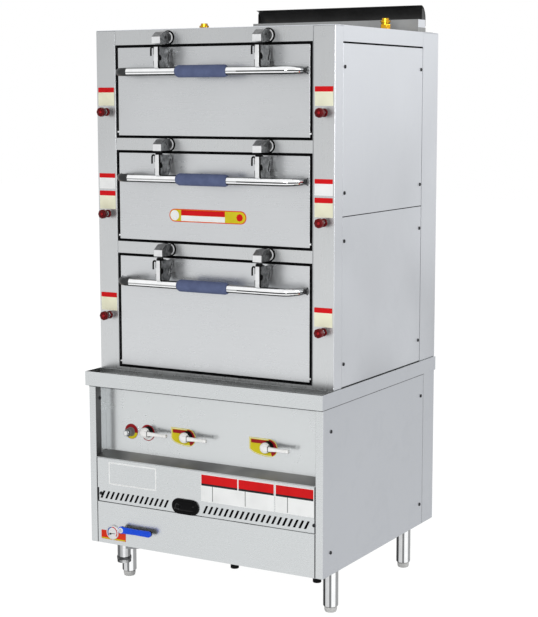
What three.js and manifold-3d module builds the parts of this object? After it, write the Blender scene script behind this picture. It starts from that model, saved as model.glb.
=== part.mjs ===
// A gas steam cabinet: three drop-down chambers over a boiler base, in millimetres, +Z up.
// X runs along the front, and Y = 0 is the front face of the upper cabinet until the group is centred.

import * as THREE from 'three';
import { mergeVertices } from 'three/addons/utils/BufferGeometryUtils.js';
import Module from 'manifold-3d';

const wasm = await Module();
wasm.setup();

// Clearances and walls
const seat = 0.3;
const running = 0.5;
const sheet = 2;
const linerSheet = 1.5;
const overrun = 6;

// Overall body
const bodyWidth = 910;
const upperDepth = 791;
const bodyBottomZ = 157;
const lowerHeight = 552;
const lowerReach = 72;
const deckHeight = 49;
const deckReach = 87;
const deckOverhang = 5;
const deckShoulder = 35;
const deckShoulderDepth = 15;
const troughDepth = 16;

// Front of the upper cabinet: three openings over one another
const sillHeight = 14;
const midRailHeight = 46;
const topRailHeight = 53;
const tallOpening = 388;
const lowOpening = 303;
const bottomKnobRise = 174;
const middleKnobRise = 89;
const topKnobRise = 84;
const jambWidth = 83;
const jambDepth = 30;
const cornerDepth = 53;
const rearCornerDepth = 131;
const roofRim = 51;

// Chamber liners
const linerDepth = 625;
const linerFlange = 10;

// Wire racks: wires over two cross bars that lie on the chamber floor
const rackInset = 16;
const rackSetBack = 30;
const rackDepth = 570;
const rackBar = 10;
const rackWire = 5;
const rackSink = 1;
const rackWires = 9;

// Doors
const doorThickness = 28;
const doorSkin = 1.5;
const gasketWidth = 5.2;
const gasketSetBack = 3;
const gasketThickness = 19;
const hingeRise = 18;
const hingeSetBack = 6;
const hingePinRadius = 3;
const hingePinReach = 4;
const weepRadius = 3;
const weepInset = 116;

// Door handles and their latches
const barDrop = 87;
const barRadius = 13.5;
const barStandOff = 62;
const barBendInset = 90;
const barEndRadius = 8;
const eyeRadius = 8;
const eyeWidth = 8;
const eyeInset = 6;
const pivotStandOff = 10;
const pivotRadius = 3;
const lugThickness = 4;
const gripLength = 200;
const gripRadius = 20;
const gripChamfer = 7;
const latchInsetLeft = 209;
const latchInsetRight = 155;
const latchWidth = 26;
const latchPlate = 3;
const latchReach = 76;
const latchHeight = 79;
const latchBackGap = 4;
const latchTaper = 20;
const rollerRadius = 6;
const catchGap = 4;
const catchWidth = 34;
const catchPlate = 3;
const catchReach = 60;
const catchHeight = 39;
const catchFrontHeight = 21;
const catchTopDepth = 34;
const catchDiscRadius = 20;
const catchDiscThickness = 4;
const catchDiscShift = 7;
const catchShift = 10;

// Steam risers, valves and their knobs
const riserInset = 39;
const riserY = 80;
const riserRadius = 17;
const riserBore = 13;
const riserFootRise = 50;
const riserHeadRise = 45;
const branchRadius = 14;
const branchBore = 10;
const spoutRadius = 10;
const spoutBore = 6;
const tallSpoutRise = 174;
const lowSpoutRise = 89;
const bonnetRadius = 12;
const bonnetGap = 8;
const stemRadius = 5;
const stemReach = 29;
const knobRadius = 15.5;
const knobThickness = 20;
const knobStandOff = 19;
const knobSocket = 11;
const knobDish = 3;

// Side panels
const panelReturn = 12;
const seamZ = 1310.5;
const seamWidth = 2;
const seamDepth = 1;

// Flue
const flueInset = 25;
const flueWidth = 663;
const flueBackGap = 59;
const flueDepth = 60;
const flueRise = 45;
const flueDrop = 60;
const deflectorReach = 35;
const deflectorRise = 47;
const deflectorLap = 22;
const deflectorSteps = 8;

// Relief vents on the roof
const ventInset = 90;
const ventBackGap = 246;
const ventHexRadius = 19;
const ventHexHeight = 36;
const ventTopRadius = 13;
const ventTopHeight = 8;
const ventFlangeRadius = 21;
const ventFlangeHeight = 3;

// Front of the base
const postWidth = 27;
const postReturn = 60;
const kickHeight = 145.5;
const kickGap = 3;
const ventPanelHeight = 152;
const foldDepth = 18;
const panelSetBack = 57;
const shelfRise = 16;
const skirtDepth = 40;
const skirtInset = 185;

// Vent slots and the sight window
const slotHeight = 26;
const slotWidth = 6.5;
const slotLean = 13;
const slotBaseRise = 10.5;
const leftSlots = 14;
const rightSlots = 20;
const leftSlotInset = 14.2;
const rightSlotInset = 21.35;
const leftSlotGap = 15.05;
const rightSlotGap = 15;
const windowX = -64;
const windowRise = 23.5;
const windowWidth = 106;
const windowHeight = 53;
const windowLip = 4;
const windowFlange = 5;
const windowNeck = 14;
const windowDome = 6;
const windowDomeInset = 9;

// Gas taps and the igniter
const tapRise = 399;
const leftTapInset = 208;
const middleTapInset = 367;
const rightTapInset = 230;
const tapHubRadius = 19;
const tapHubDepth = 34;
const tapStandOff = 3;
const tapLeverReach = 95;
const tapLeverHeight = 14;
const tapLeverThickness = 10;
const tapLeverSetBack = 6;
const tapStemRadius = 6;
const tapStemReach = 26;
const tapBodyRadius = 16;
const igniterInset = 134;
const igniterDrop = 8;
const igniterBezelRadius = 20;
const igniterBezelDepth = 22;
const buttonRadius = 10;
const buttonLength = 30;
const buttonProud = 15;

// Gas rail
const railY = 24;
const railRadius = 13.5;
const railInset = 125;
const supplyInset = 83;
const supplyRadius = 10;
const jetRadius = 7;

// Burner
const burnerRadius = 150;
const burnerHeight = 40;
const burnerRise = 180;
const burnerY = 340;
const burnerRim = 12;
const burnerPostRadius = 34;
const burnerTubeRadius = 20;
const burnerTubeFrontY = 60;
const bridgeWidth = 120;
const bridgeThickness = 4;

// Boiler tank
const tankWidth = 660;
const tankFrontY = 40;
const tankDepth = 580;
const tankBottomZ = 470;
const tankHeight = 220;
const tankWall = 3;
const inletX = 120;
const inletRadius = 11;
const inletBore = 8;
const inletZ = 600;

// Base frame, legs and drain
const railWidth = 40;
const railHeight = 40;
const railWall = 3;
const crossRailWidth = 52;
const legInset = 51;
const frontLegY = 82;
const rearLegGap = 139;
const legRadius = 25.5;
const footRadius = 21;
const footTipRadius = 19;
const footHeight = 19;
const footTipHeight = 5;
const drainInset = 144;
const drainSetBack = 26;
const drainZ = 220;
const drainPipeRadius = 14;
const drainBodyRadius = 22;
const drainBodyWidth = 64;
const drainBackY = 70;
const outletInset = 119;
const outletRadius = 23;
const outletBore = 18;
const outletBottomZ = 93;
const drainStemRadius = 6;
const drainStandOff = 18;
const drainLeverThickness = 11;
const drainLeverReach = 121;
const drainLeverHeight = 22;
const drainHubRadius = 12;

// Sides on round pieces
const fineSides = 16;
const roundSides = 12;
const coarseSides = 8;
const hexSides = 6;

// Places worked out from the sizes above
const halfWidth = bodyWidth / 2;
const halfOpening = halfWidth - jambWidth;
const deckBottomZ = bodyBottomZ + lowerHeight;
const deckTopZ = deckBottomZ + deckHeight;
const troughFloorZ = deckTopZ - troughDepth;
const shellTopZ = troughFloorZ - sheet - seat;
const lowerFrontY = -lowerReach;
const panelY = lowerFrontY + panelSetBack;
const rearY = upperDepth;
const kickTopZ = bodyBottomZ + kickHeight;
const ventBottomZ = kickTopZ + kickGap;
const ventTopZ = ventBottomZ + ventPanelHeight;
const shelfFrontZ = ventTopZ + seat + sheet;
const shelfBackZ = shelfFrontZ + shelfRise;
const halfPanel = halfWidth - postWidth - seat;
const tapZ = bodyBottomZ + tapRise;
const igniterZ = tapZ - igniterDrop;
const tapXs = {
  left: leftTapInset - halfWidth, middle: middleTapInset - halfWidth, right: halfWidth - rightTapInset,
};
const latchXs = { left: latchInsetLeft - halfOpening, right: halfOpening - latchInsetRight };
const riserX = halfWidth - riserInset;
const flueLeftX = halfWidth - flueInset - flueWidth;
const flueFrontY = rearY - flueBackGap - flueDepth;
const ventX = halfWidth - ventInset;
const ventY = rearY - ventBackGap;
const igniterX = igniterInset - halfWidth;
const railLeftX = railInset - halfWidth;
const supplyX = halfWidth - supplyInset;
const legX = halfWidth - legInset;
const rearLegY = rearY - rearLegGap;
const drainX = drainInset - halfWidth;
const drainY = lowerFrontY + drainSetBack;
const outletX = outletInset - halfWidth;

const chambers = [
  { name: 'bottom', openingHeight: tallOpening, knobRise: bottomKnobRise, spoutRise: tallSpoutRise },
  { name: 'middle', openingHeight: lowOpening, knobRise: middleKnobRise, spoutRise: lowSpoutRise },
  { name: 'top', openingHeight: lowOpening, knobRise: topKnobRise, spoutRise: lowSpoutRise },
];
let risingZ = deckTopZ + sillHeight;
for (const chamber of chambers) {
  chamber.bottomZ = risingZ;
  chamber.topZ = risingZ + chamber.openingHeight;
  chamber.knobZ = risingZ + chamber.knobRise;
  chamber.spoutZ = chamber.bottomZ + chamber.spoutRise;
  chamber.barZ = chamber.topZ - barDrop;
  chamber.hingeZ = risingZ + hingeRise;
  risingZ = chamber.topZ + midRailHeight;
}
const topChamber = chambers[chambers.length - 1];
const roofTopZ = topChamber.topZ + topRailHeight;
const roofBottomZ = roofTopZ - sheet;

// Finishes
const finish = (color, roughness, metalness) => new THREE.MeshStandardMaterial({ color, roughness, metalness });
const brushedSteel = () => finish(0xc2c4c6, 0.35, 0.9);
const blackedSteel = () => finish(0x1d1d1f, 0.5, 0.6);
const polishedSteel = () => finish(0xe2e4e6, 0.12, 1);
const blackRubber = () => finish(0x111112, 0.8, 0);
const blueRubber = () => finish(0x586391, 0.65, 0);
const redPlastic = () => finish(0x7c0f14, 0.3, 0);
const whiteEnamel = () => finish(0xe9e8e3, 0.35, 0);
const blueVinyl = () => finish(0x0f5aeb, 0.4, 0);
const brass = () => finish(0xe3b64a, 0.25, 1);
const blackGloss = () => finish(0x0c0c0d, 0.15, 0);
const castIron = () => finish(0x3b3b3d, 0.7, 0.5);

const cabinet = new THREE.Group();

// Turns a closed geometry into a solid that can be joined and cut
function solidOf(geometry) {
  const bare = geometry.clone();
  bare.deleteAttribute('normal');
  bare.deleteAttribute('uv');
  const welded = mergeVertices(bare);
  return new wasm.Manifold(new wasm.Mesh({
    numProp: 3,
    vertProperties: new Float32Array(welded.attributes.position.array),
    triVerts: new Uint32Array(welded.index.array),
  }));
}

// Adds a solid to the cabinet as a named mesh
function addPiece(name, solid, material) {
  const data = solid.getMesh();
  const geometry = new THREE.BufferGeometry();
  geometry.setAttribute('position', new THREE.BufferAttribute(data.vertProperties, data.numProp));
  geometry.setIndex(new THREE.BufferAttribute(data.triVerts, 1));
  geometry.computeVertexNormals();
  const mesh = new THREE.Mesh(geometry, material);
  mesh.name = name;
  cabinet.add(mesh);
}

// A box between two corners
function box([x0, x1], [y0, y1], [z0, z1]) {
  const geometry = new THREE.BoxGeometry(x1 - x0, y1 - y0, z1 - z0);
  geometry.translate((x0 + x1) / 2, (y0 + y1) / 2, (z0 + z1) / 2);
  return solidOf(geometry);
}

// A frame of four walls: an outer rectangle in X and Z with an inner one cut out, along Y
function ring([x0, x1], [z0, z1], wall, [y0, y1]) {
  const outer = box([x0 - wall, x1 + wall], [y0, y1], [z0 - wall, z1 + wall]);
  return outer.subtract(box([x0, x1], [y0 - overrun, y1 + overrun], [z0, z1]));
}

function extruded(points, depth) {
  const shape = new THREE.Shape(points.map(([a, b]) => new THREE.Vector2(a, b)));
  return new THREE.ExtrudeGeometry(shape, { depth, bevelEnabled: false, curveSegments: coarseSides });
}

// A [y, z] outline carried along X
function alongX(points, [x0, x1]) {
  const geometry = extruded(points, x1 - x0);
  geometry.applyMatrix4(new THREE.Matrix4().makeBasis(
    new THREE.Vector3(0, 1, 0), new THREE.Vector3(0, 0, 1), new THREE.Vector3(1, 0, 0)));
  geometry.translate(x0, 0, 0);
  return solidOf(geometry);
}

// An [x, z] outline carried along Y
function alongY(points, [y0, y1]) {
  const geometry = extruded(points, y1 - y0);
  geometry.applyMatrix4(new THREE.Matrix4().makeBasis(
    new THREE.Vector3(1, 0, 0), new THREE.Vector3(0, 0, 1), new THREE.Vector3(0, -1, 0)));
  geometry.translate(0, y1, 0);
  return solidOf(geometry);
}

// An [x, y] outline carried along Z
function alongZ(points, [z0, z1]) {
  const geometry = extruded(points, z1 - z0);
  geometry.translate(0, 0, z0);
  return solidOf(geometry);
}

// A round bar along one axis, from one place to another on it
function rod(axis, radius, [from, to], [a, b], sides = roundSides) {
  const geometry = new THREE.CylinderGeometry(radius, radius, to - from, sides);
  const middle = (from + to) / 2;
  if (axis === 'x') {
    geometry.rotateZ(Math.PI / 2);
    geometry.translate(middle, a, b);
  } else if (axis === 'y') {
    geometry.translate(a, middle, b);
  } else {
    geometry.rotateX(Math.PI / 2);
    geometry.translate(a, b, middle);
  }
  return solidOf(geometry);
}

// A turned piece whose axis is vertical: [radius, height] pairs from the bottom up
function turnedUp(profile, [x, y, z], sides = roundSides) {
  const geometry = new THREE.LatheGeometry(profile.map(([r, h]) => new THREE.Vector2(r, h)), sides);
  geometry.rotateX(Math.PI / 2);
  geometry.translate(x, y, z);
  return solidOf(geometry);
}

// A turned piece whose axis comes out of the front: [radius, distance forward] pairs from the back
function turnedForward(profile, [x, y, z], sides = roundSides) {
  const geometry = new THREE.LatheGeometry(profile.map(([r, h]) => new THREE.Vector2(r, h)), sides);
  geometry.rotateX(Math.PI);
  geometry.translate(x, y, z);
  return solidOf(geometry);
}

// A round bar that tapers between two points in the plane of its height
function taper([x0, y0], [x1, y1], z, startRadius, endRadius) {
  const length = Math.hypot(x1 - x0, y1 - y0);
  const geometry = new THREE.CylinderGeometry(endRadius, startRadius, length, roundSides);
  geometry.rotateZ(Math.atan2(y1 - y0, x1 - x0) - Math.PI / 2);
  geometry.translate((x0 + x1) / 2, (y0 + y1) / 2, z);
  return solidOf(geometry);
}

function joined(solids) {
  return solids.reduce((whole, next) => whole.add(next));
}

function cut(solid, tools) {
  return tools.reduce((whole, next) => whole.subtract(next), solid);
}

const bothSides = [['left', -1], ['right', 1]];

// A rounded-end bar outline in X and Z, from a hub to its far end
function paddle(hubX, tipX, z, halfHeight) {
  const points = [[hubX, z - halfHeight], [tipX - halfHeight, z - halfHeight]];
  for (let step = 1; step < coarseSides / 2; step += 1) {
    const angle = -Math.PI / 2 + (Math.PI * step) / (coarseSides / 2);
    points.push([tipX - halfHeight + halfHeight * Math.cos(angle), z + halfHeight * Math.sin(angle)]);
  }
  points.push([tipX - halfHeight, z + halfHeight], [hubX, z + halfHeight]);
  return points;
}

// A stadium outline in X and Z
function stadium(x, z, width, height) {
  const radius = height / 2;
  const points = [];
  for (const [centreX, start] of [[x + width / 2 - radius, -Math.PI / 2], [x - width / 2 + radius, Math.PI / 2]]) {
    for (let step = 0; step <= fineSides / 2; step += 1) {
      const angle = start + (Math.PI * step) / (fineSides / 2);
      points.push([centreX + radius * Math.cos(angle), z + radius * Math.sin(angle)]);
    }
  }
  return points;
}

// Base frame: two side rails and two cross rails over the legs, in channel open to the middle
function addBaseFrame() {
  const outerX = halfWidth - sheet - seat;
  const height = [bodyBottomZ, bodyBottomZ + railHeight];
  const hollow = [height[0] + railWall, height[1] - railWall];
  const length = [lowerFrontY + postReturn + seat, rearY - sheet - seat];
  const frontInner = frontLegY + crossRailWidth / 2;
  const rearInner = rearLegY - crossRailWidth / 2;
  const middle = (frontLegY + rearLegY) / 2;
  const innerX = outerX - railWidth;
  const rails = bothSides.map(([, side]) => {
    const ends = [side * outerX, side * innerX].sort((a, b) => a - b);
    return box(ends, length, height);
  });
  const channels = [
    box([railWall - outerX, outerX - railWall], [frontInner, rearInner], hollow),
    box([-innerX, innerX], [frontInner - crossRailWidth + railWall, middle], hollow),
    box([-innerX, innerX], [middle, rearInner + crossRailWidth - railWall], hollow),
  ];
  const cross = [frontLegY, rearLegY].map((y) => (
    box([-outerX, outerX], [y - crossRailWidth / 2, y + crossRailWidth / 2], height)));
  addPiece('base_frame', cut(joined([...rails, ...cross]), channels), brushedSteel());
}

// Legs: a round tube with a screw foot in its lower end
function addLegs() {
  const top = bodyBottomZ - seat;
  const profile = [
    [0, 0], [footTipRadius, 0], [footRadius, footTipHeight], [footRadius, footHeight],
    [legRadius, footHeight], [legRadius, top], [0, top],
  ];
  for (const [end, y] of [['front', frontLegY], ['rear', rearLegY]]) {
    for (const [name, side] of bothSides) {
      addPiece(`leg_${end}_${name}`, turnedUp(profile, [side * legX, y, 0], fineSides), polishedSteel());
    }
  }
}

// Lower shell: sides and back in one sheet, folded round to the front posts
function addLowerShell() {
  const inner = halfWidth - sheet;
  const post = halfWidth - postWidth;
  const foldY = lowerFrontY + postReturn;
  const right = [
    [post, foldY], [post, lowerFrontY], [halfWidth, lowerFrontY], [halfWidth, rearY],
  ];
  const rightInner = [
    [inner, rearY - sheet], [inner, lowerFrontY + sheet], [post + sheet, lowerFrontY + sheet],
    [post + sheet, foldY],
  ];
  const flip = (points) => points.map(([x, y]) => [-x, y]).reverse();
  const outline = [...right, ...flip(right), ...flip(rightInner), ...rightInner];
  const shell = alongZ(outline, [bodyBottomZ, shellTopZ]);
  const back = [rearY - sheet - overrun, rearY + overrun];
  addPiece('lower_shell', cut(shell, [
    rod('y', supplyRadius + running, back, [supplyX, tapZ]),
    rod('y', inletRadius + running, back, [inletX, inletZ]),
  ]), brushedSteel());
}

// Deck: the drip trough in front and the shelf that the upper cabinet stands on
function addDeck() {
  const edge = halfWidth + deckOverhang;
  const whole = box([-edge, edge], [-deckReach, rearY], [deckBottomZ, deckTopZ]);
  const inside = edge - sheet;
  const shoulder = halfWidth - deckShoulder;
  const open = [deckBottomZ - overrun, troughFloorZ - sheet];
  addPiece('deck', cut(whole, [
    box([-inside, inside], [-deckReach + sheet, 0], [troughFloorZ, deckTopZ + overrun]),
    box([-inside, inside], [-deckReach + sheet, rearY + overrun], open),
    box([-shoulder, shoulder], [deckShoulderDepth, rearY - deckShoulderDepth],
      [deckBottomZ - overrun, deckTopZ - sheet]),
    ductHole([deckBottomZ, deckTopZ + overrun]),
    ...bothSides.map(([, side]) => (
      rod('z', riserRadius + running, [deckBottomZ, deckTopZ + overrun], [side * riserX, riserY]))),
  ]), brushedSteel());
}

// Control panel: set back under the deck, with the sloping shelf in front and the igniter's bezel
function addControlPanel() {
  const span = [-halfPanel, halfPanel];
  const folded = alongX([
    [panelY, shellTopZ], [panelY, shelfBackZ], [lowerFrontY, shelfFrontZ],
    [lowerFrontY, shelfFrontZ - sheet], [panelY + sheet, shelfBackZ - sheet], [panelY + sheet, shellTopZ],
  ], span);
  const bezel = rod('y', igniterBezelRadius, [panelY - igniterBezelDepth, panelY + sheet],
    [igniterX, igniterZ], fineSides);
  const through = [panelY - igniterBezelDepth - overrun, panelY + sheet + overrun];
  addPiece('control_panel', cut(folded.add(bezel), [
    rod('y', buttonRadius + running, through, [igniterX, igniterZ], fineSides),
    ...Object.values(tapXs).map((x) => rod('y', tapStemRadius + running, through, [x, tapZ])),
  ]), brushedSteel());
}

// Vent panel: leaning slots on both sides of the sight window
function addVentPanel() {
  const span = [-halfPanel, halfPanel];
  const face = box(span, [lowerFrontY, lowerFrontY + sheet], [ventBottomZ, ventTopZ]);
  const fold = [lowerFrontY + sheet - seat, lowerFrontY + foldDepth];
  const topFold = box(span, fold, [ventTopZ - sheet, ventTopZ]);
  const bottomFold = box(span, fold, [ventBottomZ, ventBottomZ + sheet]);
  const through = [lowerFrontY - overrun, lowerFrontY + sheet + overrun];
  const slotZ = ventBottomZ + slotBaseRise;
  const slot = (x) => alongY([
    [x, slotZ], [x + slotWidth, slotZ],
    [x + slotWidth + slotLean, slotZ + slotHeight], [x + slotLean, slotZ + slotHeight],
  ], through);
  const slots = [];
  const slotRun = slotWidth + slotLean;
  const row = (count, from, to) => {
    for (let index = 0; index < count; index += 1) {
      slots.push(slot(from + (index * (to - slotRun - from)) / (count - 1)));
    }
  };
  row(leftSlots, leftSlotInset - halfPanel, windowX - windowWidth / 2 - leftSlotGap);
  row(rightSlots, windowX + windowWidth / 2 + rightSlotGap, halfPanel - rightSlotInset);
  const hole = alongY(stadium(windowX, ventBottomZ + windowRise,
    windowWidth - windowLip * 2, windowHeight - windowLip * 2), through);
  const carved = cut(joined([face, topFold, bottomFold]), [...slots, hole]);
  const neckRoom = box([windowX - windowWidth / 2, windowX + windowWidth / 2],
    [lowerFrontY + sheet, lowerFrontY + foldDepth + overrun], [ventBottomZ - overrun, ventBottomZ + windowHeight]);
  addPiece('vent_panel', carved.subtract(neckRoom), brushedSteel());
}

// Sight window: a flanged dark cover that plugs the hole in the vent panel
function addSightWindow() {
  const z = ventBottomZ + windowRise;
  const back = lowerFrontY - seat;
  const neck = windowLip + running;
  addPiece('sight_window', joined([
    alongY(stadium(windowX, z, windowWidth, windowHeight), [back - windowFlange, back]),
    alongY(stadium(windowX, z, windowWidth - windowDomeInset * 2, windowHeight - windowDomeInset * 2),
      [back - windowFlange - windowDome, back]),
    alongY(stadium(windowX, z, windowWidth - neck * 2, windowHeight - neck * 2),
      [back - windowFlange, back + windowNeck]),
  ]), blackGloss());
}

// Kick panel: the lowest front cover, with a hole for the drain valve's stem
function addKickPanel() {
  const span = [-halfPanel, halfPanel];
  const face = box(span, [lowerFrontY, lowerFrontY + sheet], [bodyBottomZ, kickTopZ]);
  const topFold = box(span, [lowerFrontY, lowerFrontY + foldDepth], [kickTopZ - sheet, kickTopZ]);
  const skirt = box([skirtInset - halfWidth, halfPanel], [lowerFrontY, lowerFrontY + skirtDepth],
    [bodyBottomZ, bodyBottomZ + sheet]);
  const hole = rod('y', drainStemRadius + running, [lowerFrontY - overrun, lowerFrontY + sheet + overrun],
    [drainX, drainZ]);
  addPiece('kick_panel', joined([face, topFold, skirt]).subtract(hole), brushedSteel());
}

// Boiler tank: a welded box with a water inlet, a drain hole and two steam outlets
function addBoilerTank() {
  const half = tankWidth / 2;
  const depth = [tankFrontY, tankFrontY + tankDepth];
  const height = [tankBottomZ, tankBottomZ + tankHeight];
  const inlet = rod('y', inletRadius, [depth[1] - tankWall, rearY - seat], [inletX, inletZ]);
  const outer = joined([box([-half, half], depth, height), inlet]);
  addPiece('boiler_tank', cut(outer, [
    box([-half + tankWall, half - tankWall], [depth[0] + tankWall, depth[1] - tankWall],
      [height[0] + tankWall, height[1] - tankWall]),
    rod('y', inletBore, [depth[1] - tankWall - overrun, rearY + overrun], [inletX, inletZ]),
    rod('x', branchBore, [-half - overrun, half + overrun], [riserY, branchZ()]),
    rod('z', drainPipeRadius - tankWall, [height[0] - overrun, height[0] + tankWall + overrun],
      [drainX, drainBackY]),
  ]), brushedSteel());
}

function branchZ() {
  return tankBottomZ + tankHeight - riserFootRise;
}

// Steam risers: one pipe up each side, with a branch from the tank and a valve for each chamber
function addSteamRisers() {
  const footZ = branchZ() - riserRadius - tankWall;
  const headZ = topChamber.knobZ + riserHeadRise;
  for (const [name, side] of bothSides) {
    const x = side * riserX;
    const across = (from, to) => [side * from, side * to].sort((a, b) => a - b);
    const branch = across(tankWidth / 2 + seat, riserX);
    const spout = across(halfOpening + seat, riserX);
    const outer = [
      rod('z', riserRadius, [footZ, headZ], [x, riserY]),
      rod('x', branchRadius, branch, [riserY, branchZ()]),
    ];
    const inner = [
      rod('z', riserBore, [footZ + tankWall, headZ - tankWall], [x, riserY], coarseSides),
      rod('x', branchBore, across(tankWidth / 2 - overrun, riserX), [riserY, branchZ()], coarseSides),
    ];
    const stems = [];
    for (const chamber of chambers) {
      outer.push(rod('x', spoutRadius, spout, [riserY, chamber.spoutZ], coarseSides));
      outer.push(rod('y', bonnetRadius, [bonnetGap, riserY], [x, chamber.knobZ], coarseSides));
      inner.push(rod('x', spoutBore, across(halfOpening - overrun, riserX),
        [riserY, chamber.spoutZ], coarseSides));
      stems.push(rod('y', stemRadius, [-stemReach, bonnetGap + overrun], [x, chamber.knobZ], coarseSides));
    }
    addPiece(`steam_riser_${name}`, joined([cut(joined(outer), inner), ...stems]), castIron());
  }
}

// Steam valve knobs: dished rounds on the stems, in front of the corner posts
function addKnobs() {
  const profile = [
    [0, knobSocket], [stemRadius + running, knobSocket], [stemRadius + running, 0], [knobRadius, 0],
    [knobRadius, knobThickness - knobDish], [knobRadius - knobDish, knobThickness],
    [knobRadius / 2, knobThickness], [0, knobThickness - knobDish],
  ];
  for (const chamber of chambers) {
    for (const [name, side] of bothSides) {
      const place = [side * riserX, -knobStandOff, chamber.knobZ];
      addPiece(`knob_${chamber.name}_${name}`, turnedForward(profile, place, fineSides), redPlastic());
    }
  }
}

// Front frame: one welded face with the three chamber openings, their jambs and the corner returns
function addFrontFrame() {
  const height = [deckTopZ + seat, roofBottomZ - seat];
  const solids = [box([-halfWidth, halfWidth], [0, sheet], height)];
  for (const [, side] of bothSides) {
    const wall = [side * halfWidth, side * (halfWidth - sheet)].sort((a, b) => a - b);
    solids.push(box(wall, [0, cornerDepth], height));
  }
  const tools = [];
  for (const chamber of chambers) {
    const opening = [chamber.bottomZ, chamber.topZ];
    solids.push(ring([-halfOpening, halfOpening], opening, sheet, [0, jambDepth]));
    tools.push(box([-halfOpening, halfOpening], [-overrun, jambDepth + overrun], opening));
    for (const [, side] of bothSides) {
      tools.push(rod('y', stemRadius + running, [-overrun, sheet + overrun],
        [side * riserX, chamber.knobZ]));
    }
    tools.push(rod('x', hingePinRadius + running, [-halfOpening - hingePinReach - overrun,
      halfOpening + hingePinReach + overrun], [hingeSetBack, chamber.hingeZ], coarseSides));
  }
  addPiece('front_frame', cut(joined(solids), tools), brushedSteel());
}

// Chamber liners and their wire racks
function addLinersAndRacks() {
  const frontY = jambDepth + seat;
  const backY = frontY + linerDepth;
  const inner = halfOpening - linerSheet;
  for (const chamber of chambers) {
    const outer = box([-halfOpening, halfOpening], [frontY, backY], [chamber.bottomZ, chamber.topZ]);
    const flange = box([-halfOpening - linerFlange, halfOpening + linerFlange],
      [frontY, frontY + linerSheet], [chamber.bottomZ - linerFlange, chamber.topZ + linerFlange]);
    addPiece(`liner_${chamber.name}`, cut(outer.add(flange), [
      box([-inner, inner], [frontY - overrun, backY - linerSheet],
        [chamber.bottomZ + linerSheet, chamber.topZ - linerSheet]),
      rod('x', spoutBore, [-halfOpening - overrun, halfOpening + overrun],
        [riserY, chamber.spoutZ], coarseSides),
    ]), brushedSteel());

    const footZ = chamber.bottomZ + linerSheet + seat;
    const wireZ = footZ + rackBar - rackSink;
    const edge = inner - rackInset;
    const front = frontY + rackSetBack;
    const back = front + rackDepth - rackBar;
    const bars = [front, back].map((y) => (
      box([-edge, edge], [y, y + rackBar], [footZ, footZ + rackBar])));
    for (let index = 0; index < rackWires; index += 1) {
      const x = -edge + (index * (edge * 2 - rackWire)) / (rackWires - 1);
      bars.push(box([x, x + rackWire], [front, back + rackBar], [wireZ, wireZ + rackWire]));
    }
    addPiece(`rack_${chamber.name}`, joined(bars), polishedSteel());
  }
}

// Doors: hollow insulated slabs on bottom pins, with a gasket round the edge
function addDoors() {
  for (const chamber of chambers) {
    const edge = gasketWidth + seat + running;
    const half = halfOpening - edge;
    const height = [chamber.bottomZ + edge, chamber.topZ - edge];
    const solids = [box([-half, half], [0, doorThickness], height)];
    const tools = [box([-half + doorSkin, half - doorSkin], [doorSkin, doorThickness - doorSkin],
      [height[0] + doorSkin, height[1] - doorSkin])];
    for (const side of [-1, 1]) {
      const weepX = side * (half - weepInset);
      tools.push(rod('z', weepRadius, [height[0] - overrun, height[0] + overrun],
        [weepX, doorThickness / 2], coarseSides));
    }
    const hollow = cut(joined(solids), tools);
    const fittings = [];
    for (const [, side] of bothSides) {
      const across = (from, to) => [side * from, side * to].sort((a, b) => a - b);
      fittings.push(rod('x', hingePinRadius, across(half - doorSkin, halfOpening + hingePinReach),
        [hingeSetBack, chamber.hingeZ], coarseSides));
      const lug = across(half - lugThickness - eyeInset, half - eyeInset);
      fittings.push(rod('x', eyeRadius, lug, [-pivotStandOff, chamber.barZ], coarseSides));
      fittings.push(box(lug, [-pivotStandOff, doorSkin], [chamber.barZ - eyeRadius, chamber.barZ + eyeRadius]));
      fittings.push(rod('x', pivotRadius, across(half - lugThickness - eyeInset - eyeWidth, half - eyeInset),
        [-pivotStandOff, chamber.barZ], coarseSides));
    }
    addPiece(`door_${chamber.name}`, joined([hollow, ...fittings]), brushedSteel());

    const gasket = ring([-half - seat, half + seat], [height[0] - seat, height[1] + seat], gasketWidth,
      [gasketSetBack, gasketSetBack + gasketThickness]);
    const pinHole = rod('x', hingePinRadius + seat, [-halfOpening, halfOpening],
      [hingeSetBack, chamber.hingeZ], coarseSides);
    addPiece(`gasket_${chamber.name}`, gasket.subtract(pinHole), blackRubber());
  }
}

// One latch lever: a front plate and two tapering cheeks that carry the roller
function latchLever(x, barZ) {
  const span = [x - latchWidth / 2, x + latchWidth / 2];
  const topZ = barZ + latchHeight;
  const plate = box(span, [-latchReach, -latchReach + latchPlate], [barZ, topZ]);
  const cheek = [
    [-latchReach, barZ], [-latchReach, topZ], [-latchBackGap, topZ],
    [-latchBackGap - latchTaper, barZ + barRadius], [-barStandOff, barZ],
  ].reverse();
  const cheeks = [span[0], span[1] - latchPlate].map((start) => alongX(cheek, [start, start + latchPlate]));
  const roller = rod('x', rollerRadius, span, [-barStandOff, topZ + rollerRadius - latchPlate], coarseSides);
  return joined([plate, ...cheeks, roller]);
}

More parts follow.
